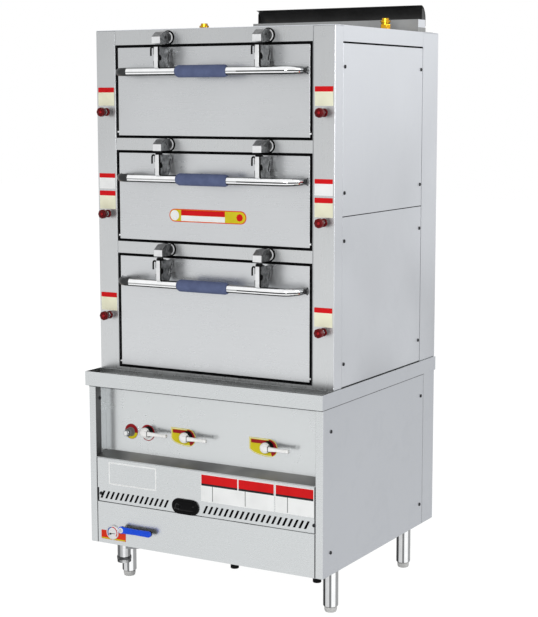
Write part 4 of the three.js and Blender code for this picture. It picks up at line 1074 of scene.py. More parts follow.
def handle_pieces():
    """All pieces of the bottom handle, by name: (piece, slot, finishes, whether it stands for the solid)."""
    bar = CHAMBERS["bottom"][1] - BAR_DROP
    bend = []
    for step in range(1, 17):
        t = step / 16
        k = [(1 - t) ** 3, 3 * t * (1 - t) ** 2, 3 * t * t * (1 - t), t ** 3]
        x = sum(a * b for a, b in zip(k, (288, 318, 335, 343.6)))
        y = sum(a * b for a, b in zip(k, (BAR_OUT, BAR_OUT, -48, -13)))
        bend.append((x, y, 13.5 - 1.9 * t * t))
    tip = [(345, -8.8, 10.4), (346, -5.4, 8.4), (346.8, -3, 5.6), (347, -1.8, 3)]
    right = [(0, BAR_OUT, 13.5), (140, BAR_OUT, 13.5), (284, BAR_OUT, 13.5)] + bend + tip
    path = [(-x, y, r) for x, y, r in reversed(right[1:])] + right
    tube = bent_tube("handle_bar", [(x, y, bar) for x, y, _ in path], [r for _, _, r in path], 8)
    # Painted light: the underside as painted shade, two thin painted reflection lines below the middle, and
    # the left end and bent-back tips as dark painted reflection.
    painted(tube, 2, lambda c, n: n.z < -0.46)
    painted(tube, 3, lambda c, n: -0.2 < n.z < -0.02 and n.y < 0)
    painted(tube, 4, lambda c, n: -0.2 < n.z < -0.02 and n.y < 0 and c[0] > 205)
    painted(tube, 1, lambda c, n: c[0] < -274 or c[1] > -15)
    pieces = [("handle_bar", tube, "polished_steel", (CHROME, DARK_REFLECTION_CHROME, CHROME_SHADED_UNDERSIDE, TUBE_REFLECTION_LINE,
                                                      TUBE_REFLECTION_LINE_DARK), True)]
    eye = turned("handle_eye_right", [(3.5, -4), (7.2, -4), (8, -3.2), (8, 3.2), (7.2, 4), (3.5, 4),
                                      (3.5, -4)],
                 (351.7, -10, bar), (1, 0, 0), 28)
    pieces.append(("handle_eye_right", eye, "polished_steel", (DARK_REFLECTION_CHROME,), False))
    pieces.append(("handle_eye_left", copy_of(eye, "handle_eye_left", mirror=True), "polished_steel",
                   (DARK_REFLECTION_CHROME,), False))

    left = LATCHES["left"]
    front = [(-76, bar + 79), (-76, bar + 16), (-75.2, bar + 13), (-72, bar + 10), (-69, bar + 9)]
    back = [(-69, bar + 11), (-71.4, bar + 12), (-73.2, bar + 14), (-73.4, bar + 16), (-73.4, bar + 79)]
    strip = pressed("latch_strip", front + back, "x", left - 7.5, 14.5)
    softened(strip, 0.7, 2, smooth=50)
    cheek_line = ([(-68, bar + 10), (-71, bar + 17), (-72, bar + 26), (-72, bar + 34), (-62, bar + 37),
                   (-60, bar + 44),
                   (-64, bar + 52), (-72, bar + 55), (-72, bar + 79)]
                  + arc(-19, bar + 64, 15, 90, 12, 8) + [(-7, bar + 48), (-17, bar + 22), (-30, bar + 6),
                      (-46, bar + 2)])
    cheeks = []
    for side, x in (("left", left - 12), ("right", left + 10.4)):
        cheek = pressed(f"latch_cheek_{side}", cheek_line, "x", x, 2.6)
        slot = pressed("cheek_slot", arc(-17, bar + 62, 3.6, 10, 190, 8) + arc(-26, bar + 34, 3.6, 190, 370,
            8), "x", x - 3, 8)
        cut_away(cheek, slot)
        softened(cheek, 0.5, 2, 40)
        cheeks.append(cheek)
    roller = turned("latch_roller", [(0, -12.6), (3, -12.6), (3, -11), (5.2, -11), (6, -10.2), (6, 10.2),
                                     (5.2, 11), (3, 11),
                                     (3, 12.6), (0, 12.6)], (left, BAR_OUT, bar + 82), (1, 0, 0), 28)
    # A black wire at the strip's edge: partly a spring wire, partly a painted shadow line along the strip.
    shadow_wire = bent_tube("latch_wire", [(left - 8, -76.4, bar + 77), (left - 12, -77.4, bar + 78.6),
                                      (left - 15.4, -77.6, bar + 77),
                                      (left - 17, -77.6, bar + 73), (left - 17.4, -77.4, bar + 62),
                                      (left - 17.6, -77, bar + 50)], [2.9] * 6, 3)
    # A black block between the cheeks, as painted shade inside the latch.
    core = pressed("latch_core", [(-71, bar + 13), (-71, bar + 76), (-36, bar + 76), (-26, bar + 50),
                                  (-34, bar + 13)], "x",
                   left - 8.6, 18.4)
    softened(core, 0.8, 2)
    # The cheeks take the darker latch steel as painted shade.
    for suffix, shift in (("left", 0), ("right", LATCHES["right"] - left)):
        for piece, slot, finishes in ((strip, "polished_steel", (LATCH_BRIGHT,)),
                                      (cheeks[0], "polished_steel", (LATCH_DARK_AND_SHADE,)),
                                      (cheeks[1], "polished_steel", (LATCH_DARK_AND_SHADE,)),
                                      (roller, "black_steel", (BLACK_RUBBER_AND_SHADE,)),
                                      (shadow_wire, "black_steel", (BLACK_RUBBER_AND_SHADE,)),
                                      (core, "black_steel", (BLACK_RUBBER_AND_SHADE,))):
            twin = copy_of(piece, f"{piece.name}_{suffix}", (shift, 0, 0))
            pieces.append((f"{piece.name}_{suffix}", twin, slot, finishes, False))
    for piece in (strip, *cheeks, roller, shadow_wire, core):
        bpy.data.objects.remove(piece)

    grip = turned("grip", [(13.8, -92), (15.2, -92), (16, -91.4), (19.4, -84.4), (20, -82.4), (20, -50),
                           (20, 0), (20, 50),
                           (20, 90.4), (19.4, 92.4), (16, 99.4), (15.2, 100), (13.8, 100), (13.8, -92)],
                  (0, BAR_OUT, bar), (1, 0, 0), 40)
    return pieces, grip


def make_handles():
    pieces, grip = handle_pieces()
    rises = {name: high - CHAMBERS["bottom"][1] for name, (_, high, _) in CHAMBERS.items()}
    for chamber, rise in rises.items():
        for name, piece, slot, finishes, stands in pieces:
            twin = copy_of(piece, f"{name}_{chamber}", (0, 0, rise))
            fitted(twin, f"handle_{chamber}", slot, *finishes,
                   replaces=(f"handle_{chamber}",) if stands else ())
        fitted(copy_of(grip, f"foam_grip_{chamber}", (0, 0, rise)), f"handle_{chamber}", "grip_rubber",
               GRIP_FOAM,
               replaces=(f"grip_{chamber}",))
    for _, piece, *_ in pieces:
        bpy.data.objects.remove(piece)
    bpy.data.objects.remove(grip)


# Catches

def make_catches():
    """A hooded catch on a round base over each latch lever, made once and copied."""
    low = CHAMBERS["bottom"][1] + 4
    x0, x1 = LATCHES["left"] - 27, LATCHES["left"] + 7
    line = [(-0.3, low), (-0.3, low + 39), (-30, low + 39), (-36, low + 38), (-41, low + 35.4),
            (-57.6, low + 23.6),
            (-59.4, low + 21.6), (-60, low + 19), (-60, low)]
    hood = pressed("catch_hood", line, "x", x0, x1 - x0)
    drop_faces(hood, lambda c, n: n.z < -0.9 or n.y > 0.9)
    close_up()
    rounded(hood, 1.6, 3)
    thickened(hood, 2.4)
    smoothed(hood, 50)
    # painted shade: the hood's sides take the darker latch steel and its top a mid grey, while its front
    # stays bright
    painted(hood, 1, lambda c, n: abs(n.x) > 0.6)
    painted(hood, 2, lambda c, n: abs(n.x) <= 0.6 and n.z > 0.3)
    disc = turned("catch_base", [(0, 0), (20, 0), (20, 2.6), (19, 4), (16.6, 4), (15.6, 3), (12.4, 2.8),
                                 (11.6, 3.6), (0, 3.6)],
                  (LATCHES["left"] - 1.6, -1.2, low + 20), (0, -1, 0), 40)
    centre = (LATCHES["left"] - 1.6, low + 20)
    # painted shade: the base's middle, under the hood, takes the darker latch steel
    painted(disc, 1, lambda c, n: math.hypot(c[0] - centre[0], c[2] - centre[1]) < 15.5)
    washer = turned("catch_washer", [(6, 0), (23.6, 0), (23.6, 1.6), (22.8, 2.6), (6, 2.6), (6, 0)],
                    (LATCHES["left"] - 0.6, -0.1, low + 20.2), (0, -1, 0), 44)
    pin = turned("catch_rivet", [(0, -1), (3.6, -1), (3.6, 1.6), (2.6, 2.6), (0, 2.9)], (x1, -26, low + 22),
                 (1, 0, 0), 20)
    for name, (_, high, _) in CHAMBERS.items():
        rise = high - CHAMBERS["bottom"][1]
        for side, latch in LATCHES.items():
            shift = (latch - LATCHES["left"], 0, rise)
            fitted(copy_of(hood, f"catch_hood_{name}_{side}", shift), "cabinet", "polished_steel",
                   LATCH_BRIGHT, LATCH_DARK_AND_SHADE,
                   HOOD_TOP_SHADE, replaces=(f"catch_{name}_{side}",))
            fitted(copy_of(disc, f"catch_base_{name}_{side}", shift), "cabinet", "polished_steel",
                   LATCH_BRIGHT, LATCH_DARK_AND_SHADE)
            fitted(copy_of(washer, f"catch_washer_{name}_{side}", shift), "cabinet", "gasket_rubber",
                   SEAL_RUBBER)
            fitted(copy_of(pin, f"catch_rivet_{name}_{side}", shift), "cabinet", "polished_steel",
                   LATCH_DARK_AND_SHADE)
    for piece in (hood, disc, washer, pin):
        bpy.data.objects.remove(piece)


# Steam valve knobs

def make_knobs():
    """A fluted knob with a dished face and a bright centre; a hex nut and a collar stay on the cabinet, the
    collar in the knob's red as a painted reflection of the knob in the steel.
    """
    z = CHAMBERS["bottom"][2]
    outline = []
    for step in range(72):
        a = 2 * math.pi * step / 72
        r = 15.4 - 0.45 * (1 - math.cos(8 * a))
        outline.append((416 + r * math.cos(a), z + r * math.sin(a)))
    body = pressed("knob_body", outline, "y", -36.4, 13.4)
    pick_faces(body, lambda c, n: n.y < -0.9)
    inset_by(0.0022, 0.0018)
    inset_by(0.0022, 0.0008)
    inset_by(0.0014, -0.0006)
    inset_by(0.0024, -0.0024)
    close_up()
    softened(body, 1.0, 2, 50, smooth=50)
    centre = turned("knob_centre", [(0, -3), (5.2, -3), (5.2, 0.4), (4.4, 1.4), (2.6, 2), (0, 2.2)],
                    (416, -36, z), (0, -1, 0), 28)
    neck = turned("knob_neck", [(5.5, 0), (9.4, 0), (9.4, 2.4), (11, 5), (5.5, 5), (5.5, 0)],
                  (416, -18.6, z), (0, -1, 0), 28)
    # The collar is in the knob's red as a painted reflection of the knob in the steel.
    collar = turned("stem_collar", [(5.4, 0), (13.5, 0), (13.5, 1.4), (12, 2.6), (5.4, 2.6), (5.4, 0)],
                    (416, -0.3, z), (0, -1, 0), 32)
    corners = [(416 + 9.6 * math.cos(math.radians(a)), z + 9.6 * math.sin(math.radians(a)))
               for a in range(0, 360, 60)]
    nut = pressed("stem_nut", corners, "y", -12, 9.2)
    softened(nut, 0.8, 2, smooth=30)
    for name, (_, _, height) in CHAMBERS.items():
        for side in ("right", "left"):
            turn = side == "left"
            shift = (0, 0, height - z)
            ride = f"knob_{name}_{side}"
            fitted(copy_of(body, f"knob_body_{name}_{side}", shift, turn), ride, "knob_plastic", KNOB_RED,
                   replaces=(ride,))
            fitted(copy_of(centre, f"knob_centre_{name}_{side}", shift, turn), ride, "knob_plastic",
                   KNOB_CENTRE)
            fitted(copy_of(neck, f"knob_neck_{name}_{side}", shift, turn), ride, "knob_plastic",
                   BLACK_RUBBER_AND_SHADE)
            fitted(copy_of(collar, f"stem_collar_{name}_{side}", shift, turn), "cabinet", "knob_plastic",
                   KNOB_RED)
            fitted(copy_of(nut, f"stem_nut_{name}_{side}", shift, turn), "cabinet", "polished_steel",
                   NUT_STEEL)
    for piece in (body, centre, neck, collar, nut):
        bpy.data.objects.remove(piece)


# Gas taps and igniter

def make_taps():
    """White lever taps: a domed hub and a drawn-out lever with a round tip."""
    z, x = 556, -247
    hub = turned("tap_hub", [(6.6, 0), (19, 0), (19, 2), (16.8, 3), (16.4, 19), (17.6, 20), (17.8, 22),
                             (17.8, 25), (17, 28.6),
                             (14.6, 31.6), (10.6, 33.4), (5.6, 34), (0, 34)], (x, -18, z), (0, -1, 0), 44)
    # Painted shade: the hub's foot by the plate in black, and its right side in grey.
    painted(hub, 1, lambda c, n: c[1] > -37.4)
    painted(hub, 2, lambda c, n: c[1] < -37.4 and n.x > 0.72)
    # A black block at the lever's root, as painted shade between hub and lever.
    root_shade = block("tap_root", (x + 16.4, -56.6, z - 8.9), (x + 19, -45.6, z + 8.9))
    softened(root_shade, 0.9, 2)
    line = [(x, z - 9.2), (x + 22, z - 7.4), (x + 60, z - 5)] + arc(x + 88.3, z, 6.6, -62, 62, 12) + [
        (x + 60, z + 5), (x + 22, z + 7.4), (x, z + 9.2)]
    lever = pressed("tap_lever", line, "y", -56, 9.8)
    softened(lever, 2.6, 4, 40, smooth=50)
    # painted shade: the lever's back in black, which also darkens its reflection in the panel
    painted(lever, 1, lambda c, n: n.y > 0.4)
    tip = turned("tap_tip", [(0, -7), (4.6, -7), (6.2, -5.4), (6.8, -2), (6.8, 3), (5.6, 6), (3, 7.4),
                             (0, 7.8)],
                 (x + 87.2, -51, z), (1, 0, 0), 28)
    # painted shade: the tip's right end in grey
    painted(tip, 1, lambda c, n: c[0] > x + 92)
    stem = turned("tap_gland", [(6.4, 0), (15, 0), (15, 2.2), (6.4, 2.2), (6.4, 0)], (x, -15.3, z),
                  (0, -1, 0), 32)
    for name, place in (("left", -247), ("middle", -88), ("right", 225)):
        shift = (place - x, 0, 0)
        ride = TAPS[name]
        fitted(copy_of(hub, f"tap_hub_{name}", shift), ride, "tap_enamel", TAP_ENAMEL, BLACK_RUBBER_AND_SHADE,
               TAP_SHADE_GREY,
               replaces=(ride,))
        fitted(copy_of(root_shade, f"tap_root_{name}", shift), ride, "tap_enamel", BLACK_RUBBER_AND_SHADE)
        fitted(copy_of(lever, f"tap_lever_{name}", shift), ride, "tap_enamel", TAP_ENAMEL, BLACK_RUBBER_AND_SHADE)
        fitted(copy_of(tip, f"tap_tip_{name}", shift), ride, "tap_enamel", TAP_ENAMEL, TAP_SHADE_GREY)
        fitted(copy_of(stem, f"tap_gland_{name}", shift), "cabinet", "polished_steel", NUT_STEEL)
    for piece in (hub, root_shade, lever, tip, stem):
        bpy.data.objects.remove(piece)


def make_control_panel():
    """The set-back panel folded into the sloping shelf, with holes for the igniter and the taps."""
    fold = [(-15, 739.7), (-15, 475.8), (-72, 459.8), (-72, 457.8), (-13, 473.8), (-13, 739.7)]
    panel = pressed("control_panel_sheet", fold, "x", -427.7, 855.4)
    rounded(panel, 0.9, 2)
    for x, z, radius in [(-321, 548, 10.3)] + [(tap, 556, 6.6) for tap in (-247, -88, 225)]:
        hole = turned("panel_hole", [(0, -3), (radius, -3), (radius, 9), (0, 9)], (x, -11, z), (0, -1, 0),
                      36)
        cut_away(panel, hole)
    smoothed(panel, 30)
    # painted shade: the sloping shelf takes the darker shelf steel
    painted(panel, 1, lambda c, n: n.z > 0.5 and c[2] < 480)
    fitted(panel, "cabinet", "cabinet_steel", PANEL_STEEL, SHELF_SHADE_STEEL, replaces=("control_panel",))
    line = [(-44, 739.4), (-44, 468.6), (-15.2, 476.6), (-15.2, 739.4)]
    flange = pressed("panel_return_right", line, "x", 426.3, 1.3)
    softened(flange, 0.4, 2, smooth=30)
    twin = copy_of(flange, "panel_return_left", mirror=True)
    fitted(flange, "cabinet", "cabinet_steel", PANEL_STEEL)
    fitted(twin, "cabinet", "cabinet_steel", PANEL_STEEL)


def make_igniter():
    x, z = -321, 548
    sleeve = turned("igniter_sleeve", [(10.2, 21.6), (10.8, 22.4), (12.6, 22.4), (13.8, 21.4), (13.8, 3.6),
                                       (15.8, 3),
                                       (16, 0.4), (10.2, 0.4), (10.2, 21.6)], (x, -15, z), (0, -1, 0), 44)
    fitted(sleeve, "cabinet", "polished_steel", SLEEVE_GREY)
    button = turned("igniter_cap", [(0, 0), (9.6, 0), (9.6, 19), (9.8, 26), (9, 27.6), (7.4, 28.4),
                                    (0, 28.4)], (x, -22.4, z),
                    (0, -1, 0), 36)
    fitted(button, "igniter_button", "polished_steel", NUT_STEEL, replaces=("igniter_button",))
    tip = turned("igniter_tip", [(0, 0), (6.2, 0), (6.2, 1.2), (5, 2), (0, 2.2)], (x, -50, z), (0, -1, 0),
                 28)
    fitted(tip, "igniter_button", "tap_enamel", PLATE_WHITE)


# Drain

def make_drain():
    x, z = -311, 220
    line = (arc(x, z, 12.6, 60, 300, 16) + [(x + 26, z - 10.4), (x + 60, z - 9.6)]
            + arc(x + 110.2, z, 10.8, -78, 78, 14) + [(x + 60, z + 9.6), (x + 26, z + 10.4)])
    paddle = pressed("drain_paddle", line, "y", -101, 10.8)
    softened(paddle, 3.2, 4, 40, smooth=50)
    fitted(paddle, "drain_lever", "lever_vinyl", LEVER_VINYL, replaces=("drain_lever",))
    core = pressed("drain_core", arc(x, z, 12, 60, 300, 16) + [(x + 26, z - 9.8)] + arc(x + 111, z, 10, -78,
        78, 14)
                   + [(x + 26, z + 9.8)], "y", -90.1, 2.6)
    softened(core, 0.8, 2)
    fitted(core, "drain_lever", "black_steel", BLACK_RUBBER_AND_SHADE)
    boss = turned("drain_boss", [(0, 0), (9.8, 0), (9.8, 0.5), (9.2, 0.9), (0, 0.9)], (x, -101, z),
                  (0, -1, 0), 32)
    fitted(boss, "drain_lever", "polished_steel", LATCH_BRIGHT)
    corners = [(x + 6.2 * math.cos(math.radians(a)), z + 6.2 * math.sin(math.radians(a))) for a in range(0,
        360, 60)]
    bolt = pressed("drain_nut", corners, "y", -102.9, 2.2)
    softened(bolt, 0.6, 2, smooth=30)
    fitted(bolt, "drain_lever", "polished_steel", NUT_STEEL)


def make_relief_vents():
    """A brass vent with a flange, a hexagon and a turned head, made once and mirrored."""
    foot = ROOF_TOP + 0.3
    flange = turned("vent_flange_right", [(0, 0), (21, 0), (21, 1.8), (19.6, 3), (17.6, 3.4), (0, 3.4)],
                    (365, 545, foot), (0, 0, 1), 40)
    corners = [(365 + 18.9 * math.cos(math.radians(a)), 545 + 18.9 * math.sin(math.radians(a)))
               for a in range(0, 360, 60)]
    hexagon = pressed("vent_hexagon_right", corners, "z", foot + 3, 20)
    softened(hexagon, 1.5, 2, smooth=30)
    neck = turned("vent_neck_right", [(0, 22), (15.6, 22), (15.6, 24), (14, 25), (14, 28), (17.6, 29),
                                      (18, 30), (18, 35), (17, 36.2),
                                      (13, 36.4), (13, 42.6), (11.8, 44), (8, 44), (8, 38), (0, 38)],
                  (365, 545, foot), (0, 0, 1), 40)
    for piece in (flange, hexagon, neck):
        stands = piece is hexagon
        twin = copy_of(piece, piece.name.replace("right", "left"), mirror=True)
        fitted(piece, "cabinet", "vent_brass", BRASS, replaces=("relief_vent_right",) if stands else ())
        fitted(twin, "cabinet", "vent_brass", BRASS, replaces=("relief_vent_left",) if stands else ())


def make_legs():
    """Tube legs with a mounting flange and a levelling foot."""
    tube = turned("leg_tube", [(0, 134), (25.2, 134), (25.4, 132), (25.4, 3), (24.2, 0.6), (22.4, 0),
                               (20.4, 0), (20.4, 4), (0, 4)],
                  (404, 82, 20), (0, 0, 1), 44)
    def swing(c):
        """Degrees round the tube from its front right quarter."""
        return (math.degrees(math.atan2(c[1] - 82, c[0] - 404)) + 61) % 360

    # painted reflection: upright stripes of lighter and darker chrome by the angle round the tube
    painted(tube, 1, lambda c, n: 39 < swing(c) < 120)
    painted(tube, 2, lambda c, n: swing(c) > 345 or swing(c) < 4)
    painted(tube, 4, lambda c, n: 313 < swing(c) <= 345)
    painted(tube, 3, lambda c, n: 240 < swing(c) <= 313)
    flange = turned("leg_flange", [(0, 0), (31, 0), (33, 1), (33, 3.4), (0, 3.4)], (404, 82, 153.2),
                    (0, 0, 1), 44)
    foot = turned("leg_foot", [(0, 0), (17.6, 0), (19, 1.2), (21, 8), (21, 15.6), (19.6, 17.4), (15, 18.2),
                               (13, 18.6), (13, 24),
                               (0, 24)], (404, 82, 0.2), (0, 0, 1), 44)
    for end, y in (("front", 82), ("rear", 652)):
        for side in ("right", "left"):
            shift = (0, y - 82, 0)
            mirror = side == "left"
            place = shift if not mirror else (-808, y - 82, 0)
            fitted(copy_of(tube, f"leg_tube_{end}_{side}", place), "cabinet", "polished_steel", LEG_STEEL,
                   LEG_SHADE, LEG_REFLECTION_BAND,
                   LEG_DARK_REFLECTION, LEG_PALE_REFLECTION, replaces=(f"leg_{end}_{side}",))
            fitted(copy_of(flange, f"leg_flange_{end}_{side}", shift, mirror), "cabinet", "polished_steel",
                   NUT_STEEL)
            fitted(copy_of(foot, f"leg_foot_{end}_{side}", shift, mirror), "cabinet", "grip_rubber",
                   FOOT_GREY)
    for piece in (tube, flange, foot):
        bpy.data.objects.remove(piece)


def stadium(x, z, width, height, steps=18):
    r = height / 2
    return arc(x + width / 2 - r, z, r, -90, 90, steps) + arc(x - width / 2 + r, z, r, 90, 270, steps)


def make_sight_window():
    """Black rim, raised glossy pane and a small round lens at its left."""
    x, z = -64, 329
    rim = pressed("window_rim", stadium(x, z, 106, 53), "y", -77, 4.8)
    pick_faces(rim, lambda c, n: n.y < -0.9)
    inset_by(0.006)
    inset_by(0.002, -0.002)
    inset_by(0.002)
    inset_by(0.005, 0.006)
    inset_by(0.006, 0.0018)
    close_up()
    softened(rim, 1.2, 3, 50, smooth=60)
    fitted(rim, "cabinet", "window_plastic", WINDOW_BLACK, replaces=("sight_window",))
    lens = turned("window_lens", [(0, 0), (6, 0), (6, 0.8), (8.2, 1.8), (10, 1.8), (10.6, 1), (10.6, -2.4),
                                  (0, -2.4), (0, 0)],
                  (x - 27, -81, z), (0, -1, 0), 36)
    fitted(lens, "cabinet", "window_plastic", LENS_GLOSS)


def make_racks():
    """Round wires laid over two rods, made once and copied."""
    floor = CHAMBERS["bottom"][0] + RACK_FLOOR
    rod = turned("rack_rod", [(0, -354), (4, -354), (5, -353), (5, 353), (4, 354), (0, 354)],
                 (0, 65.3, floor + 5), (1, 0, 0), 20)
    wire_piece = turned("rack_wire", [(0, 0), (2, 0), (2.5, 0.6), (2.5, 569.4), (2, 570), (0, 570)],
                        (-352, 60.3, floor + 11.3), (0, 1, 0), 16)
    for name, (low, _, _) in CHAMBERS.items():
        rise = low - CHAMBERS["bottom"][0]
        for end, y in (("front", 0), ("back", 560)):
            fitted(copy_of(rod, f"rack_rod_{name}_{end}", (0, y, rise)), "cabinet", "polished_steel",
                   NUT_STEEL,
                   replaces=(f"rack_{name}",) if end == "front" else ())
        for index in range(9):
            fitted(copy_of(wire_piece, f"rack_wire_{name}_{index + 1}", (index * 88, 0, rise)), "cabinet",
                   "polished_steel",
                   NUT_STEEL)
    bpy.data.objects.remove(rod)
    bpy.data.objects.remove(wire_piece)


# Sheet pieces that keep their solid

def dressed(name, slot, *finishes, edge=1.0, rules=()):
    """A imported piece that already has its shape: welded, its edges rounded, and finished."""
    piece = bpy.data.objects[name]
    piece.data.materials.clear()
    for finish in finishes:
        piece.data.materials.append(finish)
    for face in piece.data.polygons:
        face.material_index = 0
    for index, wanted in enumerate(rules):
        painted(piece, index + 1, wanted)
    weld = piece.modifiers.new("weld", "WELD")
    weld.merge_threshold = 0.00002
    if edge:
        fold = piece.modifiers.new("fold", "BEVEL")
        fold.width = edge / 1000
        fold.segments = 2
        fold.limit_method = "ANGLE"
        fold.angle_limit = 0.6
        fold.use_clamp_overlap = True


def dress_solids():
    # Painted shade: the deck's trough and its inner walls take the dark trough steel and its outer ends the
    # darker low side steel; the lower shell's sideways faces take the darker low side steel and the recess
    # jambs the dark recess steel.
    dressed("deck", "cabinet_steel", BASE_STEEL, TROUGH_SHADE_STEEL, LOW_SIDE_SHADE_STEEL, edge=0.5,
            rules=(lambda c, n: -85.3 < c[1] < 1 and (n.z > 0.5 and c[2] < 750 or n.y > 0.5
                                                      or abs(n.x) > 0.5 and abs(c[0]) < 459),
                   lambda c, n: abs(n.x) > 0.5 and abs(c[0]) > 459))
    dressed("lower_shell", "cabinet_steel", BASE_STEEL, LOW_SIDE_SHADE_STEEL, RECESS_SHADE_STEEL, edge=1.4,
            rules=(lambda c, n: abs(n.x) > 0.5, lambda c, n: abs(n.x) > 0.5 and abs(c[0]) < 440
                   and c[1] < -10))
    dressed("kick_panel", "cabinet_steel", BASE_STEEL, edge=1.2)
    dressed("base_frame", "cabinet_steel", HIDDEN_STEEL, edge=1.0)
    dressed("boiler_tank", "cabinet_steel", HIDDEN_STEEL, edge=1.4)
    dressed("burner", "pipe_iron", CAST_IRON, edge=0.8)
    for side in ("left", "right"):
        dressed(f"steam_riser_{side}", "pipe_iron", CAST_IRON, edge=0.6)
    for name in CHAMBERS:
        dressed(f"liner_{name}", "cabinet_steel", CHAMBER_STEEL, edge=1.0)
        dressed(f"gasket_{name}", "gasket_rubber", SEAL_RUBBER, edge=1.0)
    # Painted light: the flue duct's sideways faces take the lighter side steel.
    dressed("flue_duct", "cabinet_steel", FLUE_STEEL, SIDE_LIT_STEEL, edge=1.0,
            rules=(lambda c, n: abs(n.x) > 0.5,))
    dressed("drain_valve", "pipe_iron", PIPE_STEEL, edge=0.8)


# Plates, screws and small fittings

def plate(name, body, front, low, high, finish, radius=2.0, thick=0.7):
    """A thin sheet plate standing on a front face at a given depth; corners rounded."""
    piece = pressed(name, rounded_corners(low, high, radius, 4), "y", front - thick, thick - 0.05)
    softened(piece, 0.2, 2, smooth=30)
    return fitted(piece, body, "tap_enamel", finish)


def make_stile_plates():
    """Bare plates beside the knobs: a cream field under a red head."""
    x0, x1 = 383.5, 448.5
    for key, low, high, deep, finish in (("a", 1660, 1721, 16.5, PLATE_CREAM),
                                         ("b", 1311, 1373, 16.5, PLATE_CREAM),
                                         ("c", 962, 1024, 16.5, PLATE_CREAM),
                                         ("card", 1380, 1432, 15, PLATE_WHITE)):
        field = plate(f"stile_plate_{key}_right", "cabinet", -0.1, (x0, low), (x1, high), finish)
        head = plate(f"stile_plate_head_{key}_right", "cabinet", -0.8, (x0, high - deep), (x1, high),
                     PLATE_RED, thick=0.5)
        for piece in (field, head):
            twin = copy_of(piece, piece.name.replace("right", "left"), mirror=True)
            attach(twin, "cabinet")


def make_door_plate():
    """The long round-ended plate on the middle door: bare, in yellow, red and white fields."""
    outline = stadium(-16, 1299, 298, 43, 14)
    piece = pressed("door_plate_edge", outline, "y", -0.7, 0.65)
    softened(piece, 0.2, 2, smooth=30)
    fitted(piece, "door_middle", "tap_enamel", PLATE_ORANGE)
    inner = pressed("door_plate_field", stadium(-16, 1299, 292, 37, 14), "y", -1.1, 0.45)
    smoothed(inner, 30)
    fitted(inner, "door_middle", "tap_enamel", PLATE_YELLOW)
    for name, low, high, finish in (("red", (-118, 1299.5), (52, 1317), PLATE_RED),
                                    ("white", (-118, 1281), (52, 1299), PLATE_WHITE)):
        strip = pressed(f"door_plate_{name}", rounded_corners(low, high, 0.6, 2), "y", -1.4, 0.35)
        smoothed(strip, 30)
        fitted(strip, "door_middle", "tap_enamel", finish)
    spot = turned("door_plate_spot", [(0, 0), (17, 0), (17, 0.3), (16.6, 0.5), (0, 0.5)],
                  (-143.5, -1.05, 1299), (0, -1, 0), 36)
    fitted(spot, "door_middle", "tap_enamel", PLATE_WHITE)
    stop = turned("door_plate_stop", [(0, 0), (12.5, 0), (12.5, 0.3), (12.2, 0.5), (0, 0.5)],
                  (108, -1.05, 1299), (0, -1, 0), 8)
    fitted(stop, "door_middle", "tap_enamel", PLATE_RED)


def make_base_plates():
    """Bare plates on the vent panel: three white cards with red heads, and an empty frame beside them."""
    front = UPPER_FRONT
    for index, (low, high) in enumerate(((0, 139), (143.6, 276.2), (283.8, 421.4))):
        plate(f"vent_card_{index + 1}", "cabinet", front - 0.05, (low - 2.2, 357), (high + 2.2, 450.5),
              PLATE_WHITE, radius=1.6)
        plate(f"vent_card_edge_{index + 1}", "cabinet", front - 0.75, (low, 418), (high, 448), PLATE_RED,
              radius=0.8, thick=0.5)
        cell = 42 if index != 1 else 24
        plate(f"vent_card_band_{index + 1}", "cabinet", front - 0.75, (low, 411), (high, 418), PLATE_BLACK,
              radius=0.3, thick=0.6)
        plate(f"vent_card_line_{index + 1}", "cabinet", front - 0.75, (low + cell, 361),
              (low + cell + 2.4, 411), JOINT_GREY,
              radius=0.3, thick=0.3)
    outline = rounded_corners((-377, 368), (-180, 447), 3, 4)
    frame_piece = pressed("name_frame", outline, "y", front - 0.75, 0.7)
    hollow = pressed("name_hollow", rounded_corners((-371.6, 373), (-185.4, 442), 1.5, 4), "y", front - 2,
                     4)
    cut_away(frame_piece, hollow)
    smoothed(frame_piece, 30)
    fitted(frame_piece, "cabinet", "tap_enamel", PLATE_WHITE)


